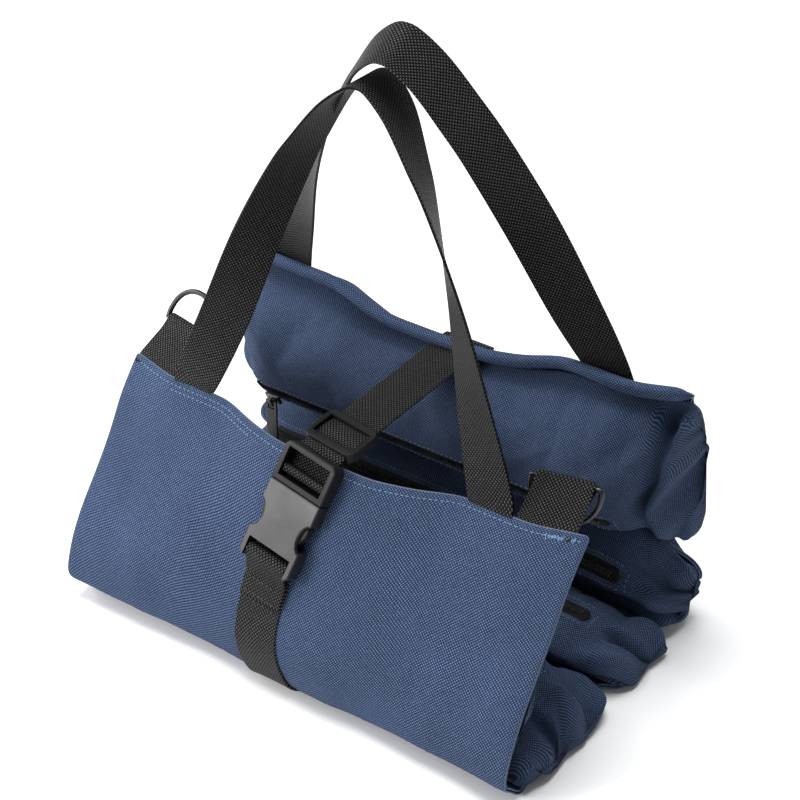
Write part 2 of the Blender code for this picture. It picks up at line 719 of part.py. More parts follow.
def socket_half_outline():
    """Right half of the socket's plate from the mouth down, with the scoop that bares the prong."""
    half = BUCKLE_WIDTH / 2
    points = [(half, 0), (half, -CATCH_DEPTH)]
    for step in range(1, SCOOP_STEPS):
        turn = pi * step / SCOOP_STEPS
        points.append((half - SCOOP_DEPTH * sin(turn), -CATCH_DEPTH - SCOOP_LENGTH * (1 - cos(turn)) / 2))
    points += [(half, -CATCH_DEPTH - SCOOP_LENGTH), (half, -SOCKET_LENGTH + EAR_ROUNDING)]
    points.append((half - EAR_ROUNDING, -SOCKET_LENGTH))
    return points


def build_socket(seat):
    half = socket_half_outline()
    outline = half + [(-x, y) for x, y in half[::-1]]
    socket = plate_object("buckle_socket", outline, BUCKLE_LOW, BUCKLE_HIGH, PLASTIC, seat)
    soften(socket, BUCKLE_EDGE)
    low = BUCKLE_MIDDLE - SOCKET_HEIGHT / 2
    high = BUCKLE_MIDDLE + SOCKET_HEIGHT / 2
    slot = SLOT_WIDTH / 2
    slot_start = -SOCKET_LENGTH + EAR_LENGTH - SLOT_LENGTH / 2
    bar_start = slot_start - SLOT_LENGTH
    bar_end = bar_start - BAR_WIDTH
    cuts = {
        "mouth": ((-MOUTH_HALF_WIDTH, -CATCH_DEPTH - CUT_OVERRUN, low), (MOUTH_HALF_WIDTH, CUT_OVERRUN, high)),
        "chamber": ((-CHAMBER_HALF_WIDTH, -SOCKET_DEPTH, low), (CHAMBER_HALF_WIDTH, -CATCH_DEPTH, high)),
        "window": ((-slot, -SOCKET_LENGTH - CUT_OVERRUN, BUCKLE_LOW - CUT_OVERRUN),
                   (slot, slot_start, BUCKLE_HIGH + CUT_OVERRUN)),
    }
    for name, (corner, opposite) in cuts.items():
        combine(socket, box_object("socket_" + name, corner, opposite, PLASTIC, seat), "DIFFERENCE")
    bar = box_object("socket_bar", (-slot - GAP, bar_end, BUCKLE_MIDDLE - BAR_HEIGHT / 2),
                     (slot + GAP, bar_start, BUCKLE_MIDDLE + BAR_HEIGHT / 2), PLASTIC, seat)
    combine(socket, bar, "UNION")
    return (bar_start + bar_end) / 2


def build_frame(seat):
    """The plug's frame: side walls, a front wall, an end wall raised over the webbing, and a bar."""
    half = BUCKLE_WIDTH / 2
    slot = SLOT_WIDTH / 2
    start = GAP
    end = GAP + FRAME_LENGTH
    corner = EAR_ROUNDING
    outline = [(-half, start), (half, start), (half, end - corner), (half - corner, end),
               (corner - half, end), (-half, end - corner)]
    frame = plate_object("buckle_plug", outline, BUCKLE_LOW, BUCKLE_HIGH, PLASTIC, seat)
    soften(frame, BUCKLE_EDGE)
    under_end = BUCKLE_LOW + WEBBING_THICKNESS + LAYER_GAP * 2
    cuts = {
        "window": ((-slot, start + FRAME_FRONT, BUCKLE_LOW - CUT_OVERRUN),
                   (slot, end - FRAME_END, BUCKLE_HIGH + CUT_OVERRUN)),
        "exit": ((-slot, end - FRAME_END - CUT_OVERRUN, BUCKLE_LOW - CUT_OVERRUN),
                 (slot, end + CUT_OVERRUN, under_end)),
    }
    for name, (near, far) in cuts.items():
        combine(frame, box_object("plug_" + name, near, far, PLASTIC, seat), "DIFFERENCE")
    bar = rod_object("plug_bar", (-slot - GAP, FRAME_BAR_PLACE, BUCKLE_MIDDLE),
                     (slot + GAP, FRAME_BAR_PLACE, BUCKLE_MIDDLE), FRAME_BAR_RADIUS, PLASTIC, seat, 12)
    combine(frame, bar, "UNION")


def build_prong(name, side, seat):
    """A sprung prong with a lens-shaped thumb pad. Its origin is at its root, where it bends."""
    height = SOCKET_HEIGHT / 2 - PRONG_CLEARANCE
    inner = PRONG_ROOT - PRONG_HALF_WIDTH
    outer = PRONG_ROOT + PRONG_HALF_WIDTH
    shoulder = -CATCH_DEPTH - PRONG_CATCH_GAP
    reach = -PRONG_LENGTH - shoulder
    outline = [(inner, -PRONG_ROOT_ROUNDING), (inner + PRONG_ROOT_ROUNDING, 0)]
    outline += [(outer - PRONG_ROOT_ROUNDING, 0), (outer, -PRONG_ROOT_ROUNDING), (outer, shoulder)]
    pad = [(0.0, 0.70), (0.10, 0.88), (0.28, 1.0), (0.52, 0.88), (0.78, 0.50), (0.96, 0.12), (1.0, -0.10)]
    outline += [(outer + (PRONG_BARB - outer) * rise, shoulder + reach * share) for share, rise in pad]
    outline += [(inner + (outer - inner) / 3, -PRONG_LENGTH), (inner, shoulder)]
    outline = [(side * x, y) for x, y in outline]
    prong = plate_object(name, outline, BUCKLE_MIDDLE - height, BUCKLE_MIDDLE + height, PLASTIC, seat)
    soften(prong, PRONG_HALF_WIDTH / 4, 1)
    move_origin(prong, (side * PRONG_ROOT, 0, BUCKLE_MIDDLE))


def run_axes(place):
    """The strap's straight run: where it leaves the plug's end, and the ridge that it goes to."""
    layer = WEBBING_THICKNESS + LAYER_GAP
    leave = place @ Vector((0, LAYER_GAP * 3 + FRAME_LENGTH, BUCKLE_LOW + WEBBING_THICKNESS / 2 + LAYER_GAP))
    ridge, inward = outline_at(RIDGE_SIDE_OFFSET, RIDGE_NUMBER)
    top = Vector((RIDGE_SIDE_OFFSET, ridge.y, ridge.z + layer))
    return leave, top


def build_upper_strap(place):
    """One layer round the plug's bar, out under the end wall, over the mouth and up to the rear edge."""
    middle = FRAME_BAR_RADIUS + LAYER_GAP + WEBBING_THICKNESS / 2
    low = BUCKLE_LOW + WEBBING_THICKNESS / 2 + LAYER_GAP
    route = []
    for step in range(LOOP_STEPS + 1):
        turn = pi * (UPPER_LOOP_SHARES[0] + (UPPER_LOOP_SHARES[1] - UPPER_LOOP_SHARES[0]) * step / LOOP_STEPS)
        route.append((FRAME_BAR_PLACE + middle * cos(turn), BUCKLE_MIDDLE + middle * sin(turn)))
    route.append((FRAME_BAR_PLACE + middle * UPPER_LOOP_EXIT_SHARE, low + WEBBING_THICKNESS / 2))
    route.append((FRAME_LENGTH - FRAME_END, low))
    route.append((GAP + FRAME_LENGTH, low))
    cross = place.to_3x3() @ ALONG
    stations = [(place @ Vector((0, y, z)), cross) for y, z in route]
    leave, top = run_axes(place)
    run = top - leave
    across = (ALONG - run * run.x / run.length_squared).normalized()
    stations.append((leave, (cross + across).normalized()))
    for share in RUN_SHARES:
        stations.append((leave + run * share, across))
    strap = ribbon("upper_strap", stations, WEBBING)
    pivot = top + UP * (WEBBING_THICKNESS / 2) + BACK * GAP
    move_origin(strap, pivot)
    return leave, run, across


def build_adjuster(leave, run, across):
    """A three-bar slide: the two outer bars lie over the webbing and the middle one under it."""
    along = run.normalized()
    normal = across.cross(along)
    place = Matrix((across, along, normal)).transposed().to_4x4()
    place.translation = leave + along * ADJUSTER_FROM_BEND
    seat = add_empty("adjuster_seat", place)
    half_width = ADJUSTER_WIDTH / 2
    half_length = ADJUSTER_LENGTH / 2
    outline = []
    for corner in range(4):
        side_x = 1 if corner in (0, 3) else -1
        side_y = 1 if corner in (0, 1) else -1
        for step in range(ADJUSTER_CORNER_STEPS + 1):
            turn = pi / 2 * (corner + step / ADJUSTER_CORNER_STEPS)
            outline.append((side_x * (half_width - ADJUSTER_CORNER) + ADJUSTER_CORNER * cos(turn),
                            side_y * (half_length - ADJUSTER_CORNER) + ADJUSTER_CORNER * sin(turn)))
    rise = WEBBING_THICKNESS / 2 + LAYER_GAP
    low = -rise - ADJUSTER_BAR_HEIGHT
    high = rise + ADJUSTER_FRAME_HEIGHT
    slot = SLOT_WIDTH / 2
    adjuster = plate_object("strap_adjuster", outline, low, high, DARK_PLASTIC, seat)
    soften(adjuster, ADJUSTER_EDGE)
    window = box_object("adjuster_window", (-slot, -ADJUSTER_WINDOW_LENGTH / 2, low - CUT_OVERRUN),
                        (slot, ADJUSTER_WINDOW_LENGTH / 2, high + CUT_OVERRUN), DARK_PLASTIC, seat)
    channel = box_object("adjuster_channel", (-slot, -half_length - CUT_OVERRUN, low - CUT_OVERRUN),
                         (slot, half_length + CUT_OVERRUN, rise), DARK_PLASTIC, seat)
    bar = box_object("adjuster_bar", (-slot - GAP, -ADJUSTER_BAR_WIDTH / 2, low),
                     (slot + GAP, ADJUSTER_BAR_WIDTH / 2, low + ADJUSTER_BAR_HEIGHT), DARK_PLASTIC, seat)
    combine(adjuster, window, "DIFFERENCE")
    combine(adjuster, channel, "DIFFERENCE")
    combine(adjuster, bar, "UNION")


def on_canvas(x, number, lift):
    point, inward = outline_at(x, number)
    middle = point - inward * lift
    middle.z = max(middle.z, WEBBING_THICKNESS / 2)
    return middle


def build_straps():
    place = buckle_axes()
    seat = add_empty("buckle_seat", place)
    bar_place = build_socket(seat)
    build_frame(seat)
    build_prong("left_prong", -1, seat)
    build_prong("right_prong", 1, seat)
    leave, run, across = build_upper_strap(place)
    build_adjuster(leave, run, across)

    middle = hypot(BAR_WIDTH, BAR_HEIGHT) / 2 + LAYER_GAP + WEBBING_THICKNESS / 2
    lift = GAP + WEBBING_THICKNESS / 2
    route = []
    for step in range(LOOP_STEPS + 1):
        turn = pi * (LOWER_LOOP_SHARES[0] + (LOWER_LOOP_SHARES[1] - LOWER_LOOP_SHARES[0]) * step / LOOP_STEPS)
        route.append((bar_place + middle * cos(turn), BUCKLE_MIDDLE + middle * sin(turn)))
    cross = place.to_3x3() @ ALONG
    route.append((bar_place - middle * LOWER_LOOP_EXIT_SHARE, lift + LAYER_GAP))
    stations = [(place @ Vector((0, y, z)), cross) for y, z in route]
    start = stations[-1][0]
    numbers = numbers_between(LOWER_STRAP_START, FLAP_LAST - STRAP_END_STEP)
    for number in numbers:
        share = (number - numbers[0]) / (numbers[-1] - numbers[0])
        x = start.x + (LOWER_STRAP_END_SIDE_OFFSET - start.x) * share
        stations.append((on_canvas(x, number, lift), ALONG))
    ribbon("lower_strap", stations, WEBBING, level=range(len(stations) - len(numbers), len(stations)))
    build_back_straps(lift)


def build_back_straps(lift):
    """The webbing that goes on under the bottom and up the back, with a break at the fold."""
    under = []
    start = FLAP_LAST + STRAP_END_STEP
    end = FOLD_NUMBER - STRAP_END_STEP
    for number in numbers_between(start, end):
        share = (number - start) / (end - start)
        x = LOWER_STRAP_END_SIDE_OFFSET + (RIDGE_SIDE_OFFSET - LOWER_STRAP_END_SIDE_OFFSET) * share
        under.append((on_canvas(x, number, lift + GAP), ALONG))
    ribbon("under_strap", under, WEBBING, level=range(len(under)))
    rear = []
    for number in numbers_between(FOLD_NUMBER + STRAP_END_STEP, RIDGE_NUMBER - STRAP_END_STEP):
        rear.append((on_canvas(RIDGE_SIDE_OFFSET, number, lift), ALONG))
    ribbon("rear_strap", rear, WEBBING)


def main():
    clear_scene()
    build_panels()
    build_pockets()
    build_zips()
    build_handles()
    build_tabs()
    build_straps()


main()
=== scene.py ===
import bisect
import math
import random

import bmesh
import bpy
from mathutils import Matrix, Vector, noise
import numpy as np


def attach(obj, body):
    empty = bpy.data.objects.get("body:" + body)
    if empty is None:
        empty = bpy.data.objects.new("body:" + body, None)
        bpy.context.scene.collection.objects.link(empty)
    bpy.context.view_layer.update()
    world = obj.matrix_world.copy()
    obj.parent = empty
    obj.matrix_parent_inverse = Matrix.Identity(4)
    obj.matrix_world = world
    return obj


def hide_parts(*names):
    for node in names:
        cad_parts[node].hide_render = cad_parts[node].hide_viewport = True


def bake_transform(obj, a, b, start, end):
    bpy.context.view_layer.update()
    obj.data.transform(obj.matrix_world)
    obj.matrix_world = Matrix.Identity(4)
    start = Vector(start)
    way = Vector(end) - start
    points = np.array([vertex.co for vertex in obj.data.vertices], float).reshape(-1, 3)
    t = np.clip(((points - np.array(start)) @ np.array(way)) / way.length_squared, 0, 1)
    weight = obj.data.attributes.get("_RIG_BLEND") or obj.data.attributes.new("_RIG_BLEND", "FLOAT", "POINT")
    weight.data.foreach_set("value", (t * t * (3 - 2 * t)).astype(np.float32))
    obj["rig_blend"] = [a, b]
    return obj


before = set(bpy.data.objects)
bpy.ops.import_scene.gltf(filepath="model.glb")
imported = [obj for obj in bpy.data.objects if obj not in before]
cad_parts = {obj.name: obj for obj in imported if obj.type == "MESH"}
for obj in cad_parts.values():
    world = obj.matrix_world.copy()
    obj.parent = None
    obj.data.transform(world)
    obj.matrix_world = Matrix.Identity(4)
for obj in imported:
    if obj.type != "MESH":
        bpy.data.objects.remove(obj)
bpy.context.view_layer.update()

along = Vector((1, 0, 0))
up = Vector((0, 0, 1))
print("frame loaded")


# Camera, floor and light

view = {
    "azimuth": 36.3, "elevation": 32.0, "distance": 1.210, "target": (0.008, 0.008, 0.160),
    "lens": 87.0, "sensorWidth": 36, "clipStart": 0.05,
}
studio = {
    "floorSize": 6, "floorColour": (0.95, 0.95, 0.95), "floorRoughness": 0.85,
    "worldColour": (0.96, 0.98, 1.0), "worldStrength": 0.27, "lampTarget": (0, 0, 0.12),
}
lamps = {
    "keyLamp": {"place": (-0.82, -1.22, 0.66), "size": 0.75, "power": 19, "colour": (1.0, 0.99, 0.98)},
    "sideLamp": {"place": (-1.45, -0.30, 0.80), "size": 0.9, "power": 14, "colour": (1.0, 1.0, 1.0)},
    "topLamp": {"place": (-0.1, 0.1, 2.5), "size": 1.8, "power": 70, "colour": (1.0, 1.0, 1.0)},
}


def addObject(name, data):
    obj = bpy.data.objects.new(name, data)
    bpy.context.scene.collection.objects.link(obj)
    return obj


def newMaterial(name, roughness, metallic=0.0):
    paint = bpy.data.materials.new(name)
    paint.use_nodes = True
    shader = paint.node_tree.nodes["Principled BSDF"]
    shader.inputs["Roughness"].default_value = roughness
    shader.inputs["Metallic"].default_value = metallic
    return paint, paint.node_tree, shader


def makeCamera():
    turn = math.radians(view["azimuth"])
    lift = math.radians(view["elevation"])
    target = Vector(view["target"])
    away = Vector((math.sin(turn) * math.cos(lift), -math.cos(turn) * math.cos(lift), math.sin(lift)))
    lens = bpy.data.cameras.new("photoCamera")
    lens.lens = view["lens"]
    lens.sensor_width = view["sensorWidth"]
    lens.clip_start = view["clipStart"]
    camera = addObject("photoCamera", lens)
    camera.location = target + away * view["distance"]
    camera.rotation_euler = (-away).to_track_quat("-Z", "Y").to_euler()
    bpy.context.scene.camera = camera


def makeStudio():
    mesh = bmesh.new()
    bmesh.ops.create_grid(mesh, x_segments=1, y_segments=1, size=studio["floorSize"])
    data = bpy.data.meshes.new("floor")
    mesh.to_mesh(data)
    mesh.free()
    floor = addObject("floor", data)
    paint, _, shader = newMaterial("paleFloor", studio["floorRoughness"])
    shader.inputs["Base Color"].default_value = (*studio["floorColour"], 1)
    data.materials.append(paint)
    world = bpy.data.worlds.new("softbox")
    world.use_nodes = True
    sky = world.node_tree.nodes["Background"]
    sky.inputs["Color"].default_value = (*studio["worldColour"], 1)
    sky.inputs["Strength"].default_value = studio["worldStrength"]
    bpy.context.scene.world = world
    for name, lamp in lamps.items():
        light = bpy.data.lights.new(name, "AREA")
        light.shape = "DISK"
        light.size = lamp["size"]
        light.energy = lamp["power"]
        light.color = lamp["colour"]
        obj = addObject(name, light)
        obj.location = lamp["place"]
        obj.rotation_euler = (Vector(studio["lampTarget"]) - obj.location).to_track_quat("-Z", "Y").to_euler()
    bpy.context.scene.view_settings.view_transform = "Standard"


makeCamera()
makeStudio()
print("camera and studio ready")


# Materials

def mathNode(tree, operation, *values, clamp=False):
    node = tree.nodes.new("ShaderNodeMath")
    node.operation = operation
    node.use_clamp = clamp
    for socket, value in zip(node.inputs, values):
        if isinstance(value, (int, float)):
            socket.default_value = value
        else:
            tree.links.new(value, socket)
    return node.outputs[0]


def mixColour(tree, share, first, second, blend="MIX"):
    node = tree.nodes.new("ShaderNodeMix")
    node.data_type = "RGBA"
    node.blend_type = blend
    for socket, value in ((node.inputs[0], share), (node.inputs[6], first), (node.inputs[7], second)):
        if isinstance(value, (int, float)):
            socket.default_value = value
        elif isinstance(value, tuple):
            socket.default_value = (*value, 1)
        else:
            tree.links.new(value, socket)
    return node.outputs[2]


def noiseNode(tree, coordinate, scale, detail=3, roughness=0.55):
    node = tree.nodes.new("ShaderNodeTexNoise")
    node.inputs["Scale"].default_value = scale
    node.inputs["Detail"].default_value = detail
    node.inputs["Roughness"].default_value = roughness
    tree.links.new(coordinate, node.inputs["Vector"])
    return node.outputs["Fac"]


def addBump(tree, shader, height, distance, strength=1.0):
    bump = tree.nodes.new("ShaderNodeBump")
    bump.inputs["Distance"].default_value = distance
    bump.inputs["Strength"].default_value = strength
    tree.links.new(height, bump.inputs["Height"])
    tree.links.new(bump.outputs["Normal"], shader.inputs["Normal"])


plainWeave = {"driftScale": 160, "roundness": 0.6, "crown": 0.58, "rise": 0.42, "fuzzScale": 2600}


def weaveHeights(tree, look):
    # plain weave from the piece's own UV map, which is in metres
    def calc(operation, *values):
        return mathNode(tree, operation, *values)

    uv = tree.nodes.new("ShaderNodeUVMap")
    uv.uv_map = "weave"
    place = uv.outputs["UV"]
    split = tree.nodes.new("ShaderNodeSeparateXYZ")
    tree.links.new(place, split.inputs[0])
    cell = tree.nodes.new("ShaderNodeCombineXYZ")
    drift = noiseNode(tree, place, plainWeave["driftScale"], 2)
    shift = calc("MULTIPLY", calc("SUBTRACT", drift, 0.5), look["wobble"])
    sines = []
    floors = []
    for index, pitch in enumerate((look["acrossPitch"], look["alongPitch"])):
        steps = calc("ADD", calc("DIVIDE", split.outputs[index], pitch), shift)
        sines.append(calc("SINE", calc("MULTIPLY", calc("FRACT", steps), math.pi)))
        floors.append(calc("FLOOR", steps))
        tree.links.new(floors[index], cell.inputs[index])
    odd = calc("MULTIPLY", calc("FRACT", calc("MULTIPLY", calc("ADD", *floors), 0.5)), 2)
    sign = calc("SUBTRACT", 1, calc("MULTIPLY", odd, 2))
    heights = []
    for operation, own, other in (("ADD", sines[0], sines[1]), ("SUBTRACT", sines[1], sines[0])):
        crown = calc("MULTIPLY", calc("POWER", own, plainWeave["roundness"]), plainWeave["crown"])
        rise = calc("MULTIPLY", calc("MULTIPLY", other, plainWeave["rise"]), sign)
        heights.append(calc(operation, crown, rise))
    highest = calc("MAXIMUM", calc("MAXIMUM", *heights), 0)
    chance = tree.nodes.new("ShaderNodeTexWhiteNoise")
    tree.links.new(cell.outputs[0], chance.inputs["Vector"])
    return place, highest, calc("GREATER_THAN", *heights), chance.outputs["Value"]


def wovenMaterial(name, look):
    paint, tree, shader = newMaterial(name, look["roughness"])
    place, height, isWarp, chance = weaveHeights(tree, look)
    # the warp colour is the thread's own colour with a painted highlight where the warp lies on top
    threads = mixColour(tree, isWarp, look["weft"], look["warpWithHighlight"])
    # painted shade between the threads: the lower the weave, the more of the dark gap colour
    depth = mathNode(tree, "POWER", height, look["gapSoftness"], clamp=True)
    threadsWithGapShade = mixColour(tree, depth, look["gap"], threads)
    patches = noiseNode(tree, place, look["patchScale"], 4)
    value = 1
    for source, amount in ((patches, look["patchAmount"]), (chance, look["slub"])):
        change = mathNode(tree, "MULTIPLY", mathNode(tree, "SUBTRACT", source, 0.5), amount)
        value = mathNode(tree, "ADD", value, change)
    tone = tree.nodes.new("ShaderNodeHueSaturation")
    tree.links.new(value, tone.inputs["Value"])
    tree.links.new(threadsWithGapShade, tone.inputs["Color"])
    tree.links.new(tone.outputs["Color"], shader.inputs["Base Color"])
    fuzz = noiseNode(tree, place, plainWeave["fuzzScale"], 2)
    relief = mathNode(tree, "ADD", height, mathNode(tree, "MULTIPLY", fuzz, look["fuzz"]))
    addBump(tree, shader, relief, look["bump"], look["bumpStrength"])
    shader.inputs["Sheen Weight"].default_value = look["sheen"]
    shader.inputs["Sheen Roughness"].default_value = look["sheenRoughness"]
    shader.inputs["Sheen Tint"].default_value = (*look["sheenTint"], 1)
    shader.inputs["Specular IOR Level"].default_value = look["specular"]
    return paint


# blue canvas: the warp colour is the blue thread with painted highlights on its crowns, and the gap colour is painted
# shade between the threads
canvasLook = {
    "acrossPitch": 0.00108, "alongPitch": 0.00108, "wobble": 0.5, "roughness": 0.88,
    "warpWithHighlight": (0.130, 0.194, 0.345), "weft": (0.018, 0.034, 0.084), "gap": (0.001, 0.003, 0.010), "gapSoftness": 1.8,
    "patchScale": 16, "patchAmount": 0.55, "slub": 0.30, "fuzz": 0.25, "bump": 0.00045, "bumpStrength": 1.0,
    "sheen": 0.03, "sheenRoughness": 0.45, "sheenTint": (0.6, 0.7, 0.9), "specular": 0.14,
}
# pocket cloth: a finer weave than the canvas, with colours a little darker and greyer as painted shade for the inside
# of the roll
pocketLook = {
    **canvasLook, "acrossPitch": 0.00094, "alongPitch": 0.00094,
    "warpWithHighlight": (0.120, 0.176, 0.308), "weft": (0.019, 0.034, 0.080),
}
# black webbing: the pale warp colour is painted glints on the crowns of black threads, and the gap colour is painted
# shade between them
webbingLook = {
    **canvasLook, "acrossPitch": 0.00125, "alongPitch": 0.00128, "wobble": 0.15, "roughness": 0.42,
    "warpWithHighlight": (0.0980, 0.0980, 0.0990), "weft": (0.0018, 0.0018, 0.0020), "gap": (0.0001, 0.0001, 0.0001),
    "gapSoftness": 3.2, "patchScale": 30, "patchAmount": 0.30, "slub": 0.35, "fuzz": 0.05, "bump": 0.00070,
    "sheen": 0.0, "sheenTint": (0.7, 0.7, 0.75), "specular": 0.10,
}
# zip tape: the gap colour is painted shade between the threads
tapeLook = {
    **canvasLook, "acrossPitch": 0.00060, "alongPitch": 0.00060, "wobble": 0.1, "roughness": 0.82,
    "warpWithHighlight": (0.0070, 0.0070, 0.0078), "weft": (0.0050, 0.0050, 0.0058), "gap": (0.0016, 0.0016, 0.0018),
    "gapSoftness": 1.0, "patchScale": 30, "patchAmount": 0.2, "slub": 0.2, "fuzz": 0.2, "bump": 0.0002,
    "bumpStrength": 0.8, "sheen": 0.05, "sheenTint": (0.6, 0.6, 0.7), "specular": 0.22,
}


def mouldedMaterial(name, look):
    # moulded or plated finish on Object coordinates: fine grain, soft blotches and paler rubbed edges
    paint, tree, shader = newMaterial(name, look["roughness"], look["metallic"])
    place = tree.nodes.new("ShaderNodeTexCoord").outputs["Object"]
    blotch = noiseNode(tree, place, look["blotchScale"], 4)
    grain = noiseNode(tree, place, look["grainScale"], 2)
    geometry = tree.nodes.new("ShaderNodeNewGeometry")
    raised = mathNode(tree, "SUBTRACT", geometry.outputs["Pointiness"], look["edgeStart"])
    edge = mathNode(tree, "MULTIPLY", raised, look["edgeSharpness"], clamp=True)
    worn = mathNode(tree, "MULTIPLY", edge, look["wear"])
    tinted = mixColour(tree, blotch, look["dark"], look["light"])
    tree.links.new(mixColour(tree, worn, tinted, look["edge"]), shader.inputs["Base Color"])
    spread = mathNode(tree, "MULTIPLY", mathNode(tree, "SUBTRACT", blotch, 0.5), look["roughSpread"])
    tree.links.new(mathNode(tree, "ADD", look["roughness"], spread), shader.inputs["Roughness"])
    addBump(tree, shader, grain, look["bump"], look["bumpStrength"])
    shader.inputs["Specular IOR Level"].default_value = look["specular"]
    return paint


buckleLook = {
    "dark": (0.007, 0.007, 0.008), "light": (0.011, 0.011, 0.012), "edge": (0.035, 0.035, 0.037), "wear": 0.5,
    "edgeStart": 0.52, "edgeSharpness": 14, "roughness": 0.33, "roughSpread": 0.18, "metallic": 0.0, "specular": 0.30,
    "blotchScale": 60, "grainScale": 2400, "bump": 0.00005, "bumpStrength": 0.5,
}
plugLook = {
    **buckleLook, "dark": (0.004, 0.004, 0.005), "light": (0.007, 0.007, 0.008), "roughness": 0.40, "specular": 0.14,
}
adjusterLook = {**plugLook, "roughness": 0.55, "specular": 0.12}
pullerLook = {
    **buckleLook, "dark": (0.006, 0.006, 0.007), "light": (0.010, 0.010, 0.011), "edge": (0.03, 0.03, 0.03),
    "roughness": 0.22,
}
ringLook = {
    **buckleLook, "dark": (0.030, 0.030, 0.032), "light": (0.055, 0.055, 0.058), "edge": (0.14, 0.14, 0.15),
    "wear": 0.4, "roughness": 0.34, "metallic": 1.0, "specular": 0.5,
    "blotchScale": 90, "grainScale": 1800, "bump": 0.00003, "bumpStrength": 0.4,
}
coilLook = {
    **buckleLook, "dark": (0.016, 0.016, 0.017), "light": (0.028, 0.028, 0.030), "roughness": 0.30, "wear": 0.3,
}
threadLook = {
    "roughness": 0.7, "darkShare": 0.6, "fibreScale": 1500, "bump": 0.00015, "bumpStrength": 0.7, "sheen": 0.2,
}


def threadMaterial(name, colour):
    paint, tree, shader = newMaterial(name, threadLook["roughness"])
    place = tree.nodes.new("ShaderNodeTexCoord").outputs["Object"]
    fibre = noiseNode(tree, place, threadLook["fibreScale"])
    dark = tuple(share * threadLook["darkShare"] for share in colour)
    tree.links.new(mixColour(tree, fibre, dark, colour), shader.inputs["Base Color"])
    addBump(tree, shader, fibre, threadLook["bump"], threadLook["bumpStrength"])
    shader.inputs["Sheen Weight"].default_value = threadLook["sheen"]
    return paint


materials = {
    "canvas": wovenMaterial("blueCanvas", canvasLook),
    "pocket": wovenMaterial("pocketCanvas", pocketLook),
    "cutEdge": threadMaterial("canvasEdge", (0.070, 0.112, 0.215)),
    "webbing": wovenMaterial("blackWebbing", webbingLook),
    "tape": wovenMaterial("blackZipTape", tapeLook),
    "coil": mouldedMaterial("nylonCoil", coilLook),
    "buckle": mouldedMaterial("mouldedBuckle", buckleLook),
    "plug": mouldedMaterial("mouldedPlug", plugLook),
    "adjuster": mouldedMaterial("matteAdjuster", adjusterLook),
    "puller": mouldedMaterial("glossyPuller", pullerLook),
    "ring": mouldedMaterial("gunmetal", ringLook),
    "thread": threadMaterial("blueThread", (0.145, 0.265, 0.44)),
    "strapThread": threadMaterial("strapThread", (0.030, 0.030, 0.031)),
    # a darker copy of the blue thread for the pocket seams, painted shade to go with the pockets
    "pocketThread": threadMaterial("pocketThread", (0.085, 0.150, 0.260)),
}
print("materials ready")


# Shape of the roll, from the same values as the CAD

roll = {
    "width": 0.350, "depth": 0.240, "height": 0.192, "thickness": 0.0032, "gap": 0.0003, "sagBlend": 0.007,
}
strapRoom = {"half": 0.063, "ramp": 0.028, "height": 0.0024}  # the roll's middle stands on the strap under it
outlineMiddle = [
    (-0.242, 0.766), (-0.325, 0.599), (-0.408, 0.391), (-0.475, 0.208), (-0.467, 0.078), (-0.425, 0.016),
    (-0.340, 0.0), (-0.167, 0.0), (0.083, 0.0), (0.292, 0.0), (0.400, 0.078), (0.454, 0.250), (0.456, 0.458),
    (0.446, 0.604), (0.412, 0.740), (0.352, 0.849), (0.275, 0.917),
]
outlineEnds = [
    (-0.150, 0.797), (-0.238, 0.667), (-0.317, 0.510), (-0.417, 0.339), (-0.475, 0.198), (-0.483, 0.078),
    (-0.375, 0.0), (-0.167, 0.0), (0.083, 0.0), (0.310, 0.0), (0.430, 0.104), (0.4895, 0.271), (0.463, 0.458),
    (0.456, 0.615), (0.450, 0.755), (0.408, 0.905), (0.317, 1.0),
]
sagPlaces = [0.0, 0.035, 0.063, 0.091, 0.1402, 0.175]
sagShares = [0.0, 0.0, 0.25, 0.65, 0.65, 1.0]
lastNumber = len(outlineMiddle) - 1


def curvePoint(points, place):
    # a point on the Catmull-Rom curve through the points
    last = len(points) - 1
    index = min(max(int(place), 0), last - 1)
    t = place - index
    start, end = points[index], points[index + 1]
    before = points[index - 1] if index > 0 else start * 2 - end
    after = points[index + 2] if index + 2 <= last else end * 2 - start
    return (start * 2 + (end - before) * t + (before * 2 - start * 5 + end * 4 - after) * t * t
            + (start * 3 - before - end * 3 + after) * t * t * t) / 2


def lengthTable(points):
    lengths = [0.0]
    for before, after in zip(points, points[1:]):
        lengths.append(lengths[-1] + (after - before).length)
    return lengths


def readTable(xs, ys, x):
    # ys at x, along straight lines between the table's entries
    if x <= xs[0]:
        return ys[0]
    if x >= xs[-1]:
        return ys[-1]
    index = bisect.bisect_right(xs, x) - 1
    share = (x - xs[index]) / max(xs[index + 1] - xs[index], 1e-9)
    return ys[index] + (ys[index + 1] - ys[index]) * share


def sagAt(x):
    return readTable(sagPlaces, sagShares, abs(x))


outlineCache = {}


def outlinePoints(x):
    key = round(x, 5)
    if key not in outlineCache:
        aside = roll["sagBlend"]
        share = (sagAt(x - aside) + sagAt(x) * 2 + sagAt(x + aside)) / 4
        size = Vector((roll["depth"], roll["height"]))
        outlineCache[key] = [Vector(a).lerp(Vector(b), share) * size for a, b in zip(outlineMiddle, outlineEnds)]
    return outlineCache[key]


def lowestAt(x):
    share = (strapRoom["half"] - abs(x)) / strapRoom["ramp"]
    return strapRoom["height"] * min(max(share, 0), 1)


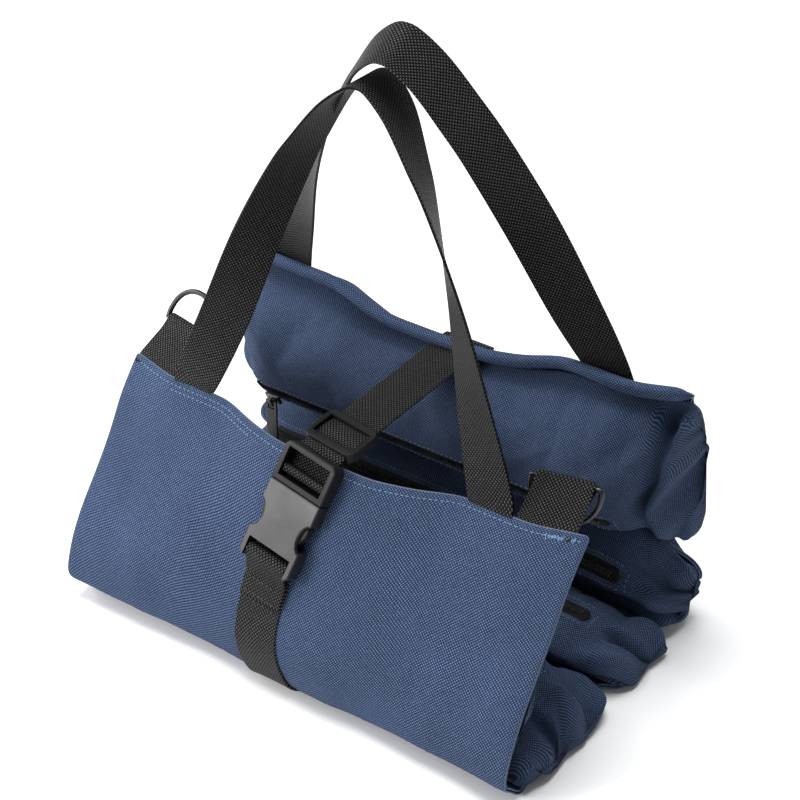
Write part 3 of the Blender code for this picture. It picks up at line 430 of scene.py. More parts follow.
def outlineAt(x, number):
    # the outside of the canvas at a place along it, and the way inwards
    points = outlinePoints(x)
    here = curvePoint(points, number)
    ahead = curvePoint(points, min(number + 0.04, lastNumber)) - curvePoint(points, max(number - 0.04, 0))
    ahead.normalize()
    point = Vector((x, here.x, max(here.y, lowestAt(x))))
    return point, Vector((0, -ahead.y, ahead.x))


def smoothStep(value):
    value = min(max(value, 0.0), 1.0)
    return value * value * (3 - 2 * value)


def finishMesh(name, mesh, material):
    data = bpy.data.meshes.new(name)
    mesh.to_mesh(data)
    mesh.free()
    data.materials.append(materials[material])
    for face in data.polygons:
        face.use_smooth = True
    return addObject(name, data)


def addSubdivision(obj):
    modifier = obj.modifiers.new("Subdivision", "SUBSURF")
    modifier.levels = 1
    modifier.render_levels = 1


def addThickness(obj, name, thickness, offset=0):
    modifier = obj.modifiers.new(name, "SOLIDIFY")
    modifier.thickness = thickness
    modifier.offset = offset
    return modifier


def gridMesh(columns, rows, place, weave, marks=None):
    # a grid whose points go where place(s, t) says, with its UV map in metres from weave(s, t)
    mesh = bmesh.new()
    bmesh.ops.create_grid(mesh, x_segments=columns, y_segments=rows, size=1)
    layer = mesh.loops.layers.uv.new("weave")
    marks = marks or {}
    for name in marks:
        mesh.verts.layers.float.new(name)
    values = {name: mesh.verts.layers.float[name] for name in marks}
    shares = {}
    for vert in mesh.verts:
        shares[vert] = ((vert.co.x + 1) / 2, (vert.co.y + 1) / 2)
    for face in mesh.faces:
        for loop in face.loops:
            loop[layer].uv = weave(*shares[loop.vert])
    for vert, (s, t) in shares.items():
        for name, value in values.items():
            vert[value] = marks[name](s, t)
        vert.co = place(s, t)
    return mesh


def closeMesh(mesh):
    # welds the grid's seam and closes its two ends
    bmesh.ops.remove_doubles(mesh, verts=mesh.verts, dist=0.00002)
    openEdges = [edge for edge in mesh.edges if edge.is_boundary]
    if openEdges:
        bmesh.ops.holes_fill(mesh, edges=openEdges, sides=0)
    bmesh.ops.recalc_face_normals(mesh, faces=mesh.faces)
    return mesh


# Outer canvas: the front flap and the bottom in one sheet, the rear panel in another

canvas = {
    "seamNumber": 11.0, "spacing": 0.0050, "outerThickness": 0.0014, "liningThickness": 0.0013, "layerGap": 0.0005,
    "liningInset": 0.0004, "waveHeight": 0.0034, "waveScale": 14.0, "creaseHeight": 0.0010, "creaseScale": 46.0,
    "hemReach": 0.05, "groundMiddle": 0.285, "groundReach": 0.12,
    "strapMiddle": 0.002, "strapReach": 0.022, "strapHold": 0.75,
}
numberSteps = [step / 20 for step in range(lastNumber * 20 + 1)]
middleLine = [Vector((0.0, *curvePoint(outlinePoints(0.11), number))) for number in numberSteps]
middleLengths = lengthTable(middleLine)


def lengthAt(number):
    return readTable(numberSteps, middleLengths, number)


def numberAt(length):
    return readTable(middleLengths, numberSteps, length)


gather = {
    "start": 0.114, "reach": 0.056, "flapNumber": 4.2, "flapRamp": 1.6,
    "notchWidth": 0.0085, "pull": 0.010, "unevenPull": 0.0030, "swell": 0.0042, "rippleScale": 34,
    "notches": [
        (5.25, 0.5), (6.6, 0.35), (7.78, 0.9), (8.45, 0.35), (9.2, 0.95), (10.4, 0.4), (11.9, 1.0), (13.9, 0.55),
    ],
}
slump = {
    "drop": 0.012, "start": 0.124, "reach": 0.042, "from": 9.4, "fromRamp": 1.6, "until": 12.8, "untilRamp": 2.8,
    "deepDrop": 0.017, "deepStart": 0.139, "deepReach": 0.034, "deepNumber": 11.8,
    "spreadBelow": 1.8, "spreadAbove": 1.3,
}
tuck = {
    "flap": 0.0045, "flapNumber": 5.0, "flapRamp": 0.03, "rear": 0.0080, "rearNumber": 11.2, "topNumber": 15.0,
    "ramp": 0.02, "start": 0.14, "reach": 0.035, "topEase": 0.55,
}
notchLengths = [(lengthAt(place), depth) for place, depth in gather["notches"]]


def notchAt(length):
    depths = [depth * math.exp(-((length - place) / gather["notchWidth"]) ** 2) for place, depth in notchLengths]
    return min(sum(depths), 1)


def endMove(x, number, out):
    # the ends are gathered: canvas and pockets draw in together at the notches and swell between them,
    # and the right end slumps, most of all where the two rear pockets meet
    weight = smoothStep((abs(x) - gather["start"]) / gather["reach"])
    weight *= smoothStep((number - gather["flapNumber"]) / gather["flapRamp"])
    if weight == 0:
        return Vector((0, 0, 0))
    side = 1 if x > 0 else -1
    length = lengthAt(number)
    notch = notchAt(length)
    ripple = noise.noise(Vector((length * gather["rippleScale"], side * 5.0, 0.7)))
    uneven = gather["unevenPull"]
    pull = weight * weight * (gather["pull"] * notch - uneven * (1 - notch) + uneven * ripple)
    swell = weight * gather["swell"] * (0.4 + 0.5 * ripple - 1.5 * notch)
    drop = smoothStep((x - slump["start"]) / slump["reach"]) * smoothStep((number - slump["from"]) / slump["fromRamp"])
    drop *= 1 - smoothStep((number - slump["until"]) / slump["untilRamp"])
    drop *= slump["drop"]
    beyond = number - slump["deepNumber"]
    spread = slump["spreadAbove"] if beyond > 0 else slump["spreadBelow"]
    deep = smoothStep((x - slump["deepStart"]) / slump["deepReach"])
    drop += slump["deepDrop"] * deep * math.exp(-(beyond / spread) ** 2)
    return along * (-side * pull) + out * swell - up * drop


def canvasRelief(x, length):
    # soft waves and creases, held still along the top hem, on the ground and under the strap
    hold = smoothStep(length / canvas["hemReach"])
    under = smoothStep(abs(length - canvas["groundMiddle"]) / canvas["groundReach"] - 0.35)
    wave = noise.noise(Vector((x * canvas["waveScale"], length * canvas["waveScale"] * 0.8, 3.1)))
    crease = noise.noise(Vector((x * canvas["creaseScale"], length * canvas["creaseScale"] * 0.6, 7.7)))
    free = 1 - math.exp(-((x - canvas["strapMiddle"]) / canvas["strapReach"]) ** 2) * canvas["strapHold"]
    return (wave * canvas["waveHeight"] + crease * canvas["creaseHeight"]) * (0.35 + 0.65 * hold) * under * free


def canvasPoint(x, length, depth):
    # a point under the outer face of the canvas, and the way out of it; the ends are tucked in above the ground
    number = numberAt(length)
    point, inward = outlineAt(x, number)
    inwards = tuck["flap"] * smoothStep((length - lengthAt(tuck["flapNumber"])) / tuck["flapRamp"])
    inwards += tuck["rear"] * smoothStep((length - lengthAt(tuck["rearNumber"])) / tuck["ramp"])
    top = tuck["topEase"] * smoothStep((length - lengthAt(tuck["topNumber"])) / tuck["ramp"])
    inwards *= smoothStep((abs(x) - tuck["start"]) / tuck["reach"]) * (1 - top)
    point = point + inward * (depth - canvasRelief(x, length)) + endMove(x, number, -inward)
    point = point - along * math.copysign(inwards, x)
    point.z = max(point.z, lowestAt(x) + depth)
    return point, -inward


def canvasLayer(name, firstNumber, endNumber, depth, thickness, inset=0.0, topInset=0.0):
    start, finish = lengthAt(firstNumber) + topInset, lengthAt(endNumber)
    half = roll["width"] / 2 - inset
    rows = round((finish - start) / canvas["spacing"])
    columns = round(half * 2 / canvas["spacing"])

    def weave(s, t):
        return (s * 2 - 1) * half, start + (finish - start) * t

    def place(s, t):
        return canvasPoint(*weave(s, t), depth)[0]

    mesh = gridMesh(columns, rows, place, weave)
    bmesh.ops.reverse_faces(mesh, faces=mesh.faces)
    layer = finishMesh(name, mesh, "canvas")
    layer.data.materials.append(materials["cutEdge"])
    addThickness(layer, "Cloth thickness", thickness, -1).material_offset_rim = 1
    addSubdivision(layer)
    return layer


def buildCanvas():
    seam = canvas["seamNumber"]
    outer, lining = canvas["outerThickness"], canvas["liningThickness"]
    inside, inset = outer + canvas["layerGap"], canvas["liningInset"]
    front = canvasLayer("frontCanvas", 0, seam, 0.0, outer)
    inner = canvasLayer("frontLining", 0, seam, inside, lining, inset, inset)
    rear = canvasLayer("rearCanvas", seam, lastNumber, 0.0, outer)
    back = canvasLayer("rearLining", seam, lastNumber, inside, lining, inset)
    for piece in (front, inner):
        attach(piece, "front_base")
    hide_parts("front_flap", "bottom_panel")
    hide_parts("rear_panel")
    for piece in (rear, back):
        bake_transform(piece, "front_base", "rear", start=(0, 0.11, 0.070), end=(0, 0.11, 0.100))
    frontLength = lengthAt(seam)


buildCanvas()
print("outer canvas sewn")


# Stitches: a seam is one mesh of many small threads

thread = {"length": 0.0027, "pitch": 0.0036, "radius": 0.00034, "lift": 0.0001}
hem = {
    "row": 0.0050, "rowEnd": 0.172, "footRow": 0.0086, "foot": (-0.135, -0.060), "rowSteps": 90,
    "tackStart": 0.1490, "tackWidth": 0.0185, "tackStitches": 26, "tackDepth": -0.0002,
}


def addBead(mesh, middle, axes, size):
    # a small long bead: a stitch or a zip's tooth
    turn = Matrix(axes).transposed().to_4x4()
    matrix = Matrix.Translation(middle) @ turn @ Matrix.Diagonal((*size, 1))
    bmesh.ops.create_uvsphere(mesh, u_segments=6, v_segments=4, radius=1, matrix=matrix)


def seamMesh(places):
    # places are (middle, way along, way out of the cloth)
    mesh = bmesh.new()
    size = (thread["length"] / 2, thread["radius"], thread["radius"])
    for middle, ahead, out in places:
        addBead(mesh, middle, (ahead.normalized(), ahead.cross(out).normalized(), out.normalized()), size)
    return mesh


def seamAlong(points, outs):
    # stitches laid evenly along a line of points
    lengths = lengthTable(points)
    places = []
    index = 0
    for number in range(int(lengths[-1] / thread["pitch"])):
        middle = (number + 0.5) * thread["pitch"]
        while index < len(lengths) - 2 and lengths[index + 1] < middle:
            index += 1
        share = (middle - lengths[index]) / max(lengths[index + 1] - lengths[index], 1e-9)
        point = points[index].lerp(points[index + 1], share)
        places.append((point, points[index + 1] - points[index], outs[index]))
    return places


def seamOn(surface, spots, lift):
    # a row of stitches through spots of a surface, which gives a point and the way out of it
    points = []
    outs = []
    for spot in spots:
        point, out = surface(*spot)
        points.append(point + out * lift)
        outs.append(out)
    return seamAlong(points, outs)


def hemRow(first, last, length):
    steps = hem["rowSteps"]
    spots = [(first + (last - first) * step / steps, length, 0) for step in range(steps + 1)]
    return seamOn(canvasPoint, spots, thread["lift"])


def buildHemStitches():
    places = hemRow(-hem["rowEnd"], hem["rowEnd"], hem["row"])
    places += hemRow(*hem["foot"], hem["footRow"])  # the second row that holds the handle's left foot
    chance = random.Random(7)
    for step in range(hem["tackStitches"]):  # the small bar tack at the right corner
        x = hem["tackStart"] + chance.uniform(0, hem["tackWidth"])
        top, out = canvasPoint(x, 0.0030 + chance.uniform(0, 0.0016), hem["tackDepth"])
        footX = x + chance.uniform(-0.0006, 0.0022)
        foot, _ = canvasPoint(footX, 0.0070 + chance.uniform(0, 0.0012), hem["tackDepth"])
        places.append((top.lerp(foot, chance.uniform(0.3, 0.7)), foot - top, out))
    seam = finishMesh("hemStitches", seamMesh(places), "thread")
    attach(seam, "front_base")


buildHemStitches()
print("hem stitched")


# Pockets: lofted pillows with gathered ends, relaxed as cloth

pocketSpans = [(0.45, 4.85), (5.55, 7.70), (7.86, 9.05), (9.30, 11.50), (12.15, 15.85)]
pocketCrowns = [
    [(-0.275, 0.542), (-0.350, 0.354), (-0.392, 0.240), (-0.412, 0.125)],
    [(-0.355, 0.130), (-0.200, 0.198), (-0.085, 0.192), (-0.037, 0.115)],
    [(-0.010, 0.125), (0.058, 0.196), (0.167, 0.203), (0.258, 0.120)],
    [(0.275, 0.150), (0.242, 0.229), (0.272, 0.307), (0.356, 0.378)],
    [(0.290, 0.462), (0.192, 0.495), (0.152, 0.583), (0.150, 0.719), (0.196, 0.849)],
]
pocketHalves = (0.176, 0.181, 0.180, 0.1765, 0.1785)
pocket = {
    "straight": 0.126, "endShare": 0.40, "pinch": 0.011, "pinchShare": 0.04, "lift": 0.0051, "spacing": 0.0045,
    "faceRows": 34, "backRows": 12, "zipPlace": 2.5, "zipDepth": 0.0014, "lipHeight": 0.0010,
    "clearance": 0.0009, "crowding": 0.35,
}
zipHalves = (0.0060, 0.0060, 0.0066, 0.0066, 0.0050)
drawnFolds = {  # the large folds that the photograph shows: x, share, x, share, height, width
    4: [(0.1660, 0.99, 0.1490, -0.20, -0.0170, 0.0046), (0.1730, 0.88, 0.1620, 0.06, 0.0110, 0.0050),
        (0.1790, 0.62, 0.1600, -0.10, -0.0130, 0.0040), (0.1770, 0.30, 0.1680, 0.10, 0.0110, 0.0070),
        (0.1600, 0.90, 0.1480, 0.20, 0.0052, 0.0075), (0.1650, 0.93, 0.1180, 0.60, -0.0042, 0.0080),
        (0.1500, 0.98, 0.1000, 0.82, 0.0030, 0.0090), (0.1450, 0.30, 0.1180, 0.06, -0.0040, 0.0065),
        (-0.180, 0.62, -0.124, 0.28, -0.0080, 0.0060), (-0.180, 0.42, -0.136, 0.10, 0.0080, 0.0090),
        (-0.175, 0.86, -0.115, 0.60, 0.0045, 0.0110), (-0.180, 0.75, -0.140, 0.62, -0.0050, 0.0060)],
    3: [(0.178, 0.88, 0.124, 0.80, 0.0075, 0.0075), (0.178, 0.70, 0.140, 0.66, -0.0110, 0.0045),
        (0.178, 0.50, 0.146, 0.44, 0.0085, 0.0070), (0.178, 0.32, 0.118, 0.16, -0.0115, 0.0045),
        (0.178, 0.14, 0.140, 0.08, 0.0050, 0.0050)],
    2: [(0.181, 0.88, 0.130, 0.90, -0.0090, 0.0045), (0.181, 0.70, 0.146, 0.74, 0.0090, 0.0070),
        (0.181, 0.52, 0.136, 0.44, -0.0120, 0.0048), (0.181, 0.34, 0.140, 0.26, 0.0090, 0.0070),
        (0.181, 0.16, 0.138, 0.08, -0.0090, 0.0045)],
    1: [(0.182, 0.90, 0.125, 0.84, 0.0080, 0.0070), (0.182, 0.74, 0.132, 0.62, -0.0120, 0.0048),
        (0.182, 0.56, 0.144, 0.46, 0.0090, 0.0070), (0.182, 0.38, 0.130, 0.32, -0.0120, 0.0048),
        (0.182, 0.20, 0.140, 0.14, 0.0080, 0.0070)],
}
pocketFloor = roll["thickness"] + 0.0006


folds = {  # the random gathers of an end that isn't drawn
    "perEnd": 6, "jitter": 0.3, "reach": (0.028, 0.060), "slant": 0.12, "height": (0.0070, 0.0105),
    "width": (0.0050, 0.0070), "far": 0.09, "wander": 0.002,
}


def foldsFor(number):
    # gathers that run in from the pocket's two ends: the drawn ones, and random ones where none are drawn
    chance = random.Random(40 + number)
    lines = list(drawnFolds.get(number, []))
    half = pocketHalves[number]
    for side in (-1, 1):
        if number in drawnFolds and (side == 1 or number == 4):
            continue
        for index in range(folds["perEnd"]):
            jitter = chance.uniform(-folds["jitter"], folds["jitter"])
            share = 0.10 + 0.80 * (index + 0.5 + jitter) / folds["perEnd"]
            reach = chance.uniform(*folds["reach"])
            sign = 1 if index % 2 else -1
            slant = chance.uniform(-folds["slant"], folds["slant"])
            height = sign * chance.uniform(*folds["height"])
            lines.append((side * half, share, side * (half - reach), share + slant, height,
                          chance.uniform(*folds["width"])))
    return lines


def fullnessAt(number, x):
    end = pocketHalves[number]
    inside = min(max((end - abs(x)) / (end - pocket["straight"]), 0), 1)
    full = pocket["endShare"] + (1 - pocket["endShare"]) * math.sin(math.pi / 2 * inside)
    near = min(max((end - abs(x)) / pocket["pinch"], 0), 1)
    closing = math.sqrt(max(1 - (1 - near) ** 2, 0))
    return full * (pocket["pinchShare"] + (1 - pocket["pinchShare"]) * closing)


faceCache = {}


def facePoints(number, x):
    # the pocket's face at one place along the roll: points from its lower seam to its upper seam
    key = (number, round(x, 5))
    if key not in faceCache:
        first, last = pocketSpans[number]
        crown = [Vector((y * roll["depth"], z * roll["height"])) for y, z in pocketCrowns[number]]
        spans = len(crown) + 1
        full = fullnessAt(number, x)
        ends = []
        for place in (first, last):
            point, inward = outlineAt(x, place)
            edge = point + inward * pocket["lift"]
            ends.append(Vector((edge.y, edge.z)))
        points = [ends[0]] + crown + [ends[1]]
        line = []
        for step in range(pocket["faceRows"] + 1):
            share = step / pocket["faceRows"]
            point, inward = outlineAt(x, first + (last - first) * share)
            flat = point + inward * pocket["lift"]
            blown = curvePoint(points, spans * share)
            line.append(flat.lerp(Vector((x, blown.x, blown.y)), full))
        faceCache[key] = line
    return faceCache[key]


def faceSpot(number, x, share):
    # a point on the pocket's face, and the way out of it
    line = facePoints(number, x)
    place = min(max(share, 0), 1) * pocket["faceRows"]
    first, last = pocketSpans[number]
    own = first + (last - first) * share
    point = curvePoint(line, place) + endMove(x, own, -outlineAt(x, own)[1])
    ahead = curvePoint(line, min(place + 0.3, len(line) - 1)) - curvePoint(line, max(place - 0.3, 0))
    ahead.normalize()
    return point, Vector((0, -ahead.z, ahead.y))


def faceLengths(number):
    # length along the face, and the length of its zip line
    line = facePoints(number, 0.0)
    lengths = lengthTable(line)
    shares = [step / pocket["faceRows"] for step in range(len(line))]
    spans = len(pocketCrowns[number]) + 1
    return shares, lengths, readTable(shares, lengths, pocket["zipPlace"] / spans)


faceTables = [faceLengths(number) for number in range(5)]
pocketFolds = [foldsFor(number) for number in range(5)]


def foldRelief(number, x, length):
    shares, lengths, _ = faceTables[number]
    total = 0.0
    for startX, startShare, endX, endShare, height, width in pocketFolds[number]:
        if abs(x - startX) > folds["far"]:
            continue
        start = Vector((startX, readTable(shares, lengths, startShare)))
        run = Vector((endX, readTable(shares, lengths, endShare))) - start
        here = Vector((x, length)) - start
        way = here.dot(run) / run.length_squared
        aside = (here - run * min(max(way, 0), 1)).length
        aside += folds["wander"] * noise.noise(Vector((x * 60, length * 60, height * 900)))
        total += height * math.exp(-(aside / width) ** 2) * (1 - smoothStep(way * 1.6 - 0.6))
    return total


relief = {
    "endStart": 0.092, "endReach": 0.075, "broadHeight": 0.0026, "fineHeight": 0.0009, "seamHold": 0.12,
    "zipOverlap": 0.0008, "zipRamp": 0.010, "zipEnd": 0.150, "zipEndRamp": 0.012, "lipEnd": 0.148, "lipWidth": 0.0024,
}


def pocketRelief(number, x, share):
    # folds and soft waves, held still along the seams and the zip, with a small lip beside the zip
    shares, lengths, zipLength = faceTables[number]
    length = readTable(shares, lengths, share)
    end = smoothStep((abs(x) - relief["endStart"]) / relief["endReach"])
    seed = number * 3.7 + (11.3 if x > 0 else 0) * end
    broad = noise.noise(Vector((x * 13, length * 15, seed + 5)))
    fine = noise.noise(Vector((x * 36, length * 42, number * 3.7 + 9)))
    height = foldRelief(number, x, length) + relief["broadHeight"] * broad
    height += relief["fineHeight"] * fine * (0.4 + end)
    beside = abs(length - zipLength) - (zipHalves[number] - relief["zipOverlap"])
    zipHold = smoothStep((beside - 0.001) / relief["zipRamp"])
    if abs(x) >= relief["zipEnd"]:
        zipHold = max(zipHold, smoothStep((abs(x) - relief["zipEnd"]) / relief["zipEndRamp"]))
    height *= smoothStep(min(share, 1 - share) / relief["seamHold"]) * zipHold
    inZip = smoothStep((relief["lipEnd"] - abs(x)) / 0.006)
    dip = 1 - smoothStep((beside + 0.0008) / 0.0016)
    lip = math.exp(-((beside - 0.0022) / relief["lipWidth"]) ** 2)
    return height + inZip * (lip * pocket["lipHeight"] - dip * pocket["zipDepth"])


roundedEnds = {"start": 0.128, "reach": 0.050, "corner": 0.0065, "uneven": 0.0060}


def endRounding(number, x, share):
    # the gathered end is drawn in at its corners and a little unevenly between them
    inner = smoothStep((abs(x) - roundedEnds["start"]) / roundedEnds["reach"])
    far = abs(share * 2 - 1)
    uneven = noise.noise(Vector((share * 5.5, number * 2.9, math.copysign(4, x))))
    return inner * (roundedEnds["corner"] * far ** 2.2 + roundedEnds["uneven"] * uneven * (1 - far ** 4))


def clearOfCanvas(point, x, own):
    # moves a point of a pocket inwards until it lies on the lining or above it
    flat, inward = outlineAt(x, own)
    flat = flat + endMove(x, own, -inward)
    least = roll["thickness"] + pocket["clearance"] - canvasRelief(x, lengthAt(own))
    depth = (point - flat).dot(inward)
    if depth < least:
        point = point + inward * (least - depth)
    point.z = max(point.z, pocketFloor)
    return point


def pocketSurface(number, x, share):
    first, last = pocketSpans[number]
    point, out = faceSpot(number, x, share)
    point = point + out * pocketRelief(number, x, share)
    point = clearOfCanvas(point, x, first + (last - first) * share)
    return point - along * math.copysign(endRounding(number, x, share), x), out


sewing = {
    "seam": 0.008, "seamRamp": 0.010, "zipEnd": 0.152, "zipBeside": 0.006, "zipRamp": 0.007,
    "end": 0.004, "endRamp": 0.008,
}


def pocketShell(number):
    half = pocketHalves[number]
    faceRows, backRows = pocket["faceRows"] * 2, pocket["backRows"]
    rows = faceRows + backRows
    columns = round(half * 2 / pocket["spacing"])
    first, last = pocketSpans[number]
    shares, lengths, zipLength = faceTables[number]
    total = lengths[-1]

    def columnX(s):
        # the columns stand closer together near the two ends
        return (s * 2 - 1) * half + pocket["crowding"] * (half / math.pi / 2) * math.sin((s * 2 - 1) * math.pi)

    def numberOf(step):
        if step <= faceRows:
            return first + (last - first) * step / faceRows
        return last - (last - first) * (step - faceRows) / backRows

    def spotAt(x, step):
        if step <= faceRows:
            return pocketSurface(number, x, step / faceRows)[0]
        own = numberOf(step)
        point, inward = outlineAt(x, own)
        point = clearOfCanvas(point + inward * pocket["lift"] + endMove(x, own, -inward), x, own)
        return point - along * math.copysign(endRounding(number, x, 1), x)

    spots = [[spotAt(columnX(column / columns), step) for step in range(rows + 1)]
             for column in range(columns + 1)]

    # the woven UV map follows the cloth's own length both ways, from the middle of the zip
    zipStep = faceRows * pocket["zipPlace"] / (len(pocketCrowns[number]) + 1)
    downs = []
    for line in spots:
        table = lengthTable(line)
        zipHere = readTable(range(rows + 1), table, zipStep)
        downs.append([value - zipHere for value in table])
    sides = []
    for step in range(rows + 1):
        table = lengthTable([line[step] for line in spots])
        middle = readTable(range(columns + 1), table, columns / 2)
        sides.append([value - middle for value in table])

    def place(s, t):
        return spots[round(s * columns)][round(t * rows)]

    def weave(s, t):
        column, step = round(s * columns), round(t * rows)
        return sides[step][column], downs[column][step]

    def sewn(s, t):
        # how firmly a point is held while the cloth settles
        x, step = columnX(s), round(t * rows)
        if step >= faceRows or step == 0:
            return 1.0
        length = readTable(shares, lengths, step / faceRows)
        hold = 1 - smoothStep((min(length, total - length) - sewing["seam"]) / sewing["seamRamp"])
        if abs(x) < sewing["zipEnd"]:
            beside = abs(length - zipLength) - zipHalves[number] - sewing["zipBeside"]
            hold = max(hold, 1 - smoothStep(beside / sewing["zipRamp"]))
        return max(hold, 1 - smoothStep((half - abs(x) - sewing["end"]) / sewing["endRamp"]))

    def ownNumber(s, t):
        return numberOf(round(t * rows))

    mesh = closeMesh(gridMesh(columns, rows, place, weave, {"sewn": sewn, "ownNumber": ownNumber}))
    return finishMesh("pocketShell" + str(number + 1), mesh, "pocket")


cloth = {"frames": 20, "reach": 0.007, "endStart": 0.085, "endRamp": 0.07}
clothSettings = {
    "quality": 6, "mass": 0.35, "air_damping": 6, "tension_stiffness": 14, "compression_stiffness": 14,
    "shear_stiffness": 5, "bending_stiffness": 0.5, "vertex_group_mass": "pins", "use_pressure": True,
    "uniform_pressure_force": 3.0, "vertex_group_shrink": "ends", "shrink_min": -0.01, "shrink_max": -0.10,
}


def relaxAsCloth(obj):
    # the face swells and its gathers buckle, while the sewn-on side, the seams and the zip stay put
    rest = [vert.co.copy() for vert in obj.data.vertices]
    pins = obj.vertex_groups.new(name="pins")
    loose = obj.vertex_groups.new(name="ends")
    for index, item in enumerate(obj.data.attributes["sewn"].data):
        pins.add([index], item.value, "REPLACE")
        loose.add([index], smoothStep((abs(rest[index].x) - cloth["endStart"]) / cloth["endRamp"]), "REPLACE")
    modifier = obj.modifiers.new("Cloth", "CLOTH")
    for name, value in clothSettings.items():
        setattr(modifier.settings, name, value)
    modifier.settings.effector_weights.gravity = 0
    modifier.collision_settings.use_collision = False
    modifier.point_cache.frame_start = 1
    modifier.point_cache.frame_end = cloth["frames"]
    scene = bpy.context.scene
    for step in range(1, cloth["frames"] + 1):
        scene.frame_set(step)
    shown = obj.evaluated_get(bpy.context.evaluated_depsgraph_get())
    places = [vert.co.copy() for vert in shown.to_mesh().vertices]
    shown.to_mesh_clear()
    obj.modifiers.remove(modifier)
    obj.vertex_groups.clear()
    owns = [item.value for item in obj.data.attributes["ownNumber"].data]
    for vert, before, after, own in zip(obj.data.vertices, rest, places, owns):
        step = after - before
        moved = before + step * min(cloth["reach"] / max(step.length, 1e-9), 1)
        vert.co = clearOfCanvas(moved, moved.x, own)
    scene.frame_set(1)


def buildPockets():
    for number in range(5):
        shell = pocketShell(number)
        relaxAsCloth(shell)
        addSubdivision(shell)
        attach(shell, "rear" if number == 4 else "front_base")
        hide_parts("pocket_" + str(number + 1))
        print("pocket", number + 1, "sewn")


buildPockets()


# Rolled edge along the rear top

rolledEdge = {
    "tall": 0.0088, "thick": 0.0044, "steps": 14, "half": 0.1775, "taper": 0.014,
    "below": 0.0066, "inside": 0.0026, "wander": 0.0014, "round": 0.036,
}


def buildRolledEdge():
    def place(s, t):
        x = (s * 2 - 1) * rolledEdge["half"]
        ridge, inward = outlineAt(x, lastNumber)
        down = Vector((0, -inward.z, inward.y))
        ripple = noise.noise(Vector((x * 30, 2.2, 0.4)))
        close = smoothStep((rolledEdge["half"] - abs(x)) / rolledEdge["taper"] + 0.35)
        size = (1 + 0.12 * ripple) * close
        centre = ridge - down * rolledEdge["below"] + inward * (rolledEdge["inside"] + rolledEdge["wander"] * ripple)
        turn = 2 * math.pi * t
        return (centre + down * rolledEdge["tall"] * size * math.cos(turn)
                + inward * rolledEdge["thick"] * size * math.sin(turn))

    def weave(s, t):
        return (s * 2 - 1) * rolledEdge["half"], t * rolledEdge["round"]

    mesh = closeMesh(gridMesh(80, rolledEdge["steps"], place, weave))
    edge = finishMesh("rearRolledEdge", mesh, "canvas")
    addSubdivision(edge)
    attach(edge, "rear")


buildRolledEdge()
print("rear edge rolled")


# Zips: tape, coil and the stitches beside it

zipLook = {
    "half": 0.143, "tapeThickness": 0.0006, "toothPitch": 0.0017, "toothEnd": 0.004, "toothAside": 0.0012,
    "toothLift": 0.0004, "tooth": (0.00048, 0.0017, 0.0009), "seamBeyond": 0.0024, "endBeyond": 0.0035,
}


def zipSpot(number, x, aside, lift):
    # a point beside the zip's line, measured along the pocket's face
    shares, lengths, zipLength = faceTables[number]
    share = readTable(lengths, shares, zipLength + aside)
    point, out = faceSpot(number, x, share)
    return point + out * lift, out


def zipTape(number):
    half = zipLook["half"]
    tapeHalf = zipHalves[number]

    def weave(s, t):
        return (s * 2 - 1) * half, (t * 2 - 1) * tapeHalf

    def place(s, t):
        x, aside = weave(s, t)
        over = max(abs(x) - (half - tapeHalf), 0) / tapeHalf  # the tape's ends are round
        narrow = max(math.sqrt(max(1 - over * over, 0.0)), 0.05)
        return zipSpot(number, x, aside * narrow, -zipLook["tapeThickness"])[0]

    mesh = gridMesh(110, 6, place, weave)
    bmesh.ops.recalc_face_normals(mesh, faces=mesh.faces)
    tape = finishMesh("zipTape" + str(number + 1), mesh, "tape")
    addThickness(tape, "Tape thickness", zipLook["tapeThickness"])
    return tape


def zipCoil(number):
    pitch = zipLook["toothPitch"]
    run = zipLook["half"] - zipLook["toothEnd"]
    teeth = bmesh.new()
    for index in range(int(run * 2 / pitch)):
        for side in (-1, 1):
            x = -run + index * pitch + side * pitch / 4
            middle, out = zipSpot(number, x, side * zipLook["toothAside"], zipLook["toothLift"])
            addBead(teeth, middle, (along, out.cross(along), out), zipLook["tooth"])
    return finishMesh("zipCoil" + str(number + 1), teeth, "coil")


def buildZip(number):
    label = str(number + 1)
    body = "rear" if number == 4 else "front_base"
    tape = zipTape(number)
    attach(tape, body)
    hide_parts("zip_tape_" + label)
    coil = zipCoil(number)
    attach(coil, body)
    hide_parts("zip_coil_" + label)
    half = zipLook["half"]
    seamFrom = zipHalves[number] + zipLook["seamBeyond"]
    shares, lengths, zipLength = faceTables[number]

    def faceAt(x, aside):
        return pocketSurface(number, x, readTable(lengths, shares, zipLength + aside))

    places = []
    for side in (-1, 1):
        spots = [(-half + half * 2 * step / 90, side * seamFrom) for step in range(91)]
        places += seamOn(faceAt, spots, thread["lift"])
    for side in (-1, 1):  # the short rows across the zip's ends
        spots = [(side * (half + zipLook["endBeyond"]), (step / 4 - 1) * seamFrom) for step in range(9)]
        places += seamOn(faceAt, spots, thread["lift"] * 2)
    seam = finishMesh("zipStitches" + label, seamMesh(places), "pocketThread")
    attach(seam, body)


for number in range(5):
    buildZip(number)
print("zips sewn in")


# Webbing

web = {"width": 0.032, "thickness": 0.0018, "crown": 0.00022}
halfWeb = web["thickness"] / 2
columnShares = [0.0, 0.02, 0.08, 0.2, 0.35, 0.5, 0.65, 0.8, 0.92, 0.98, 1.0]


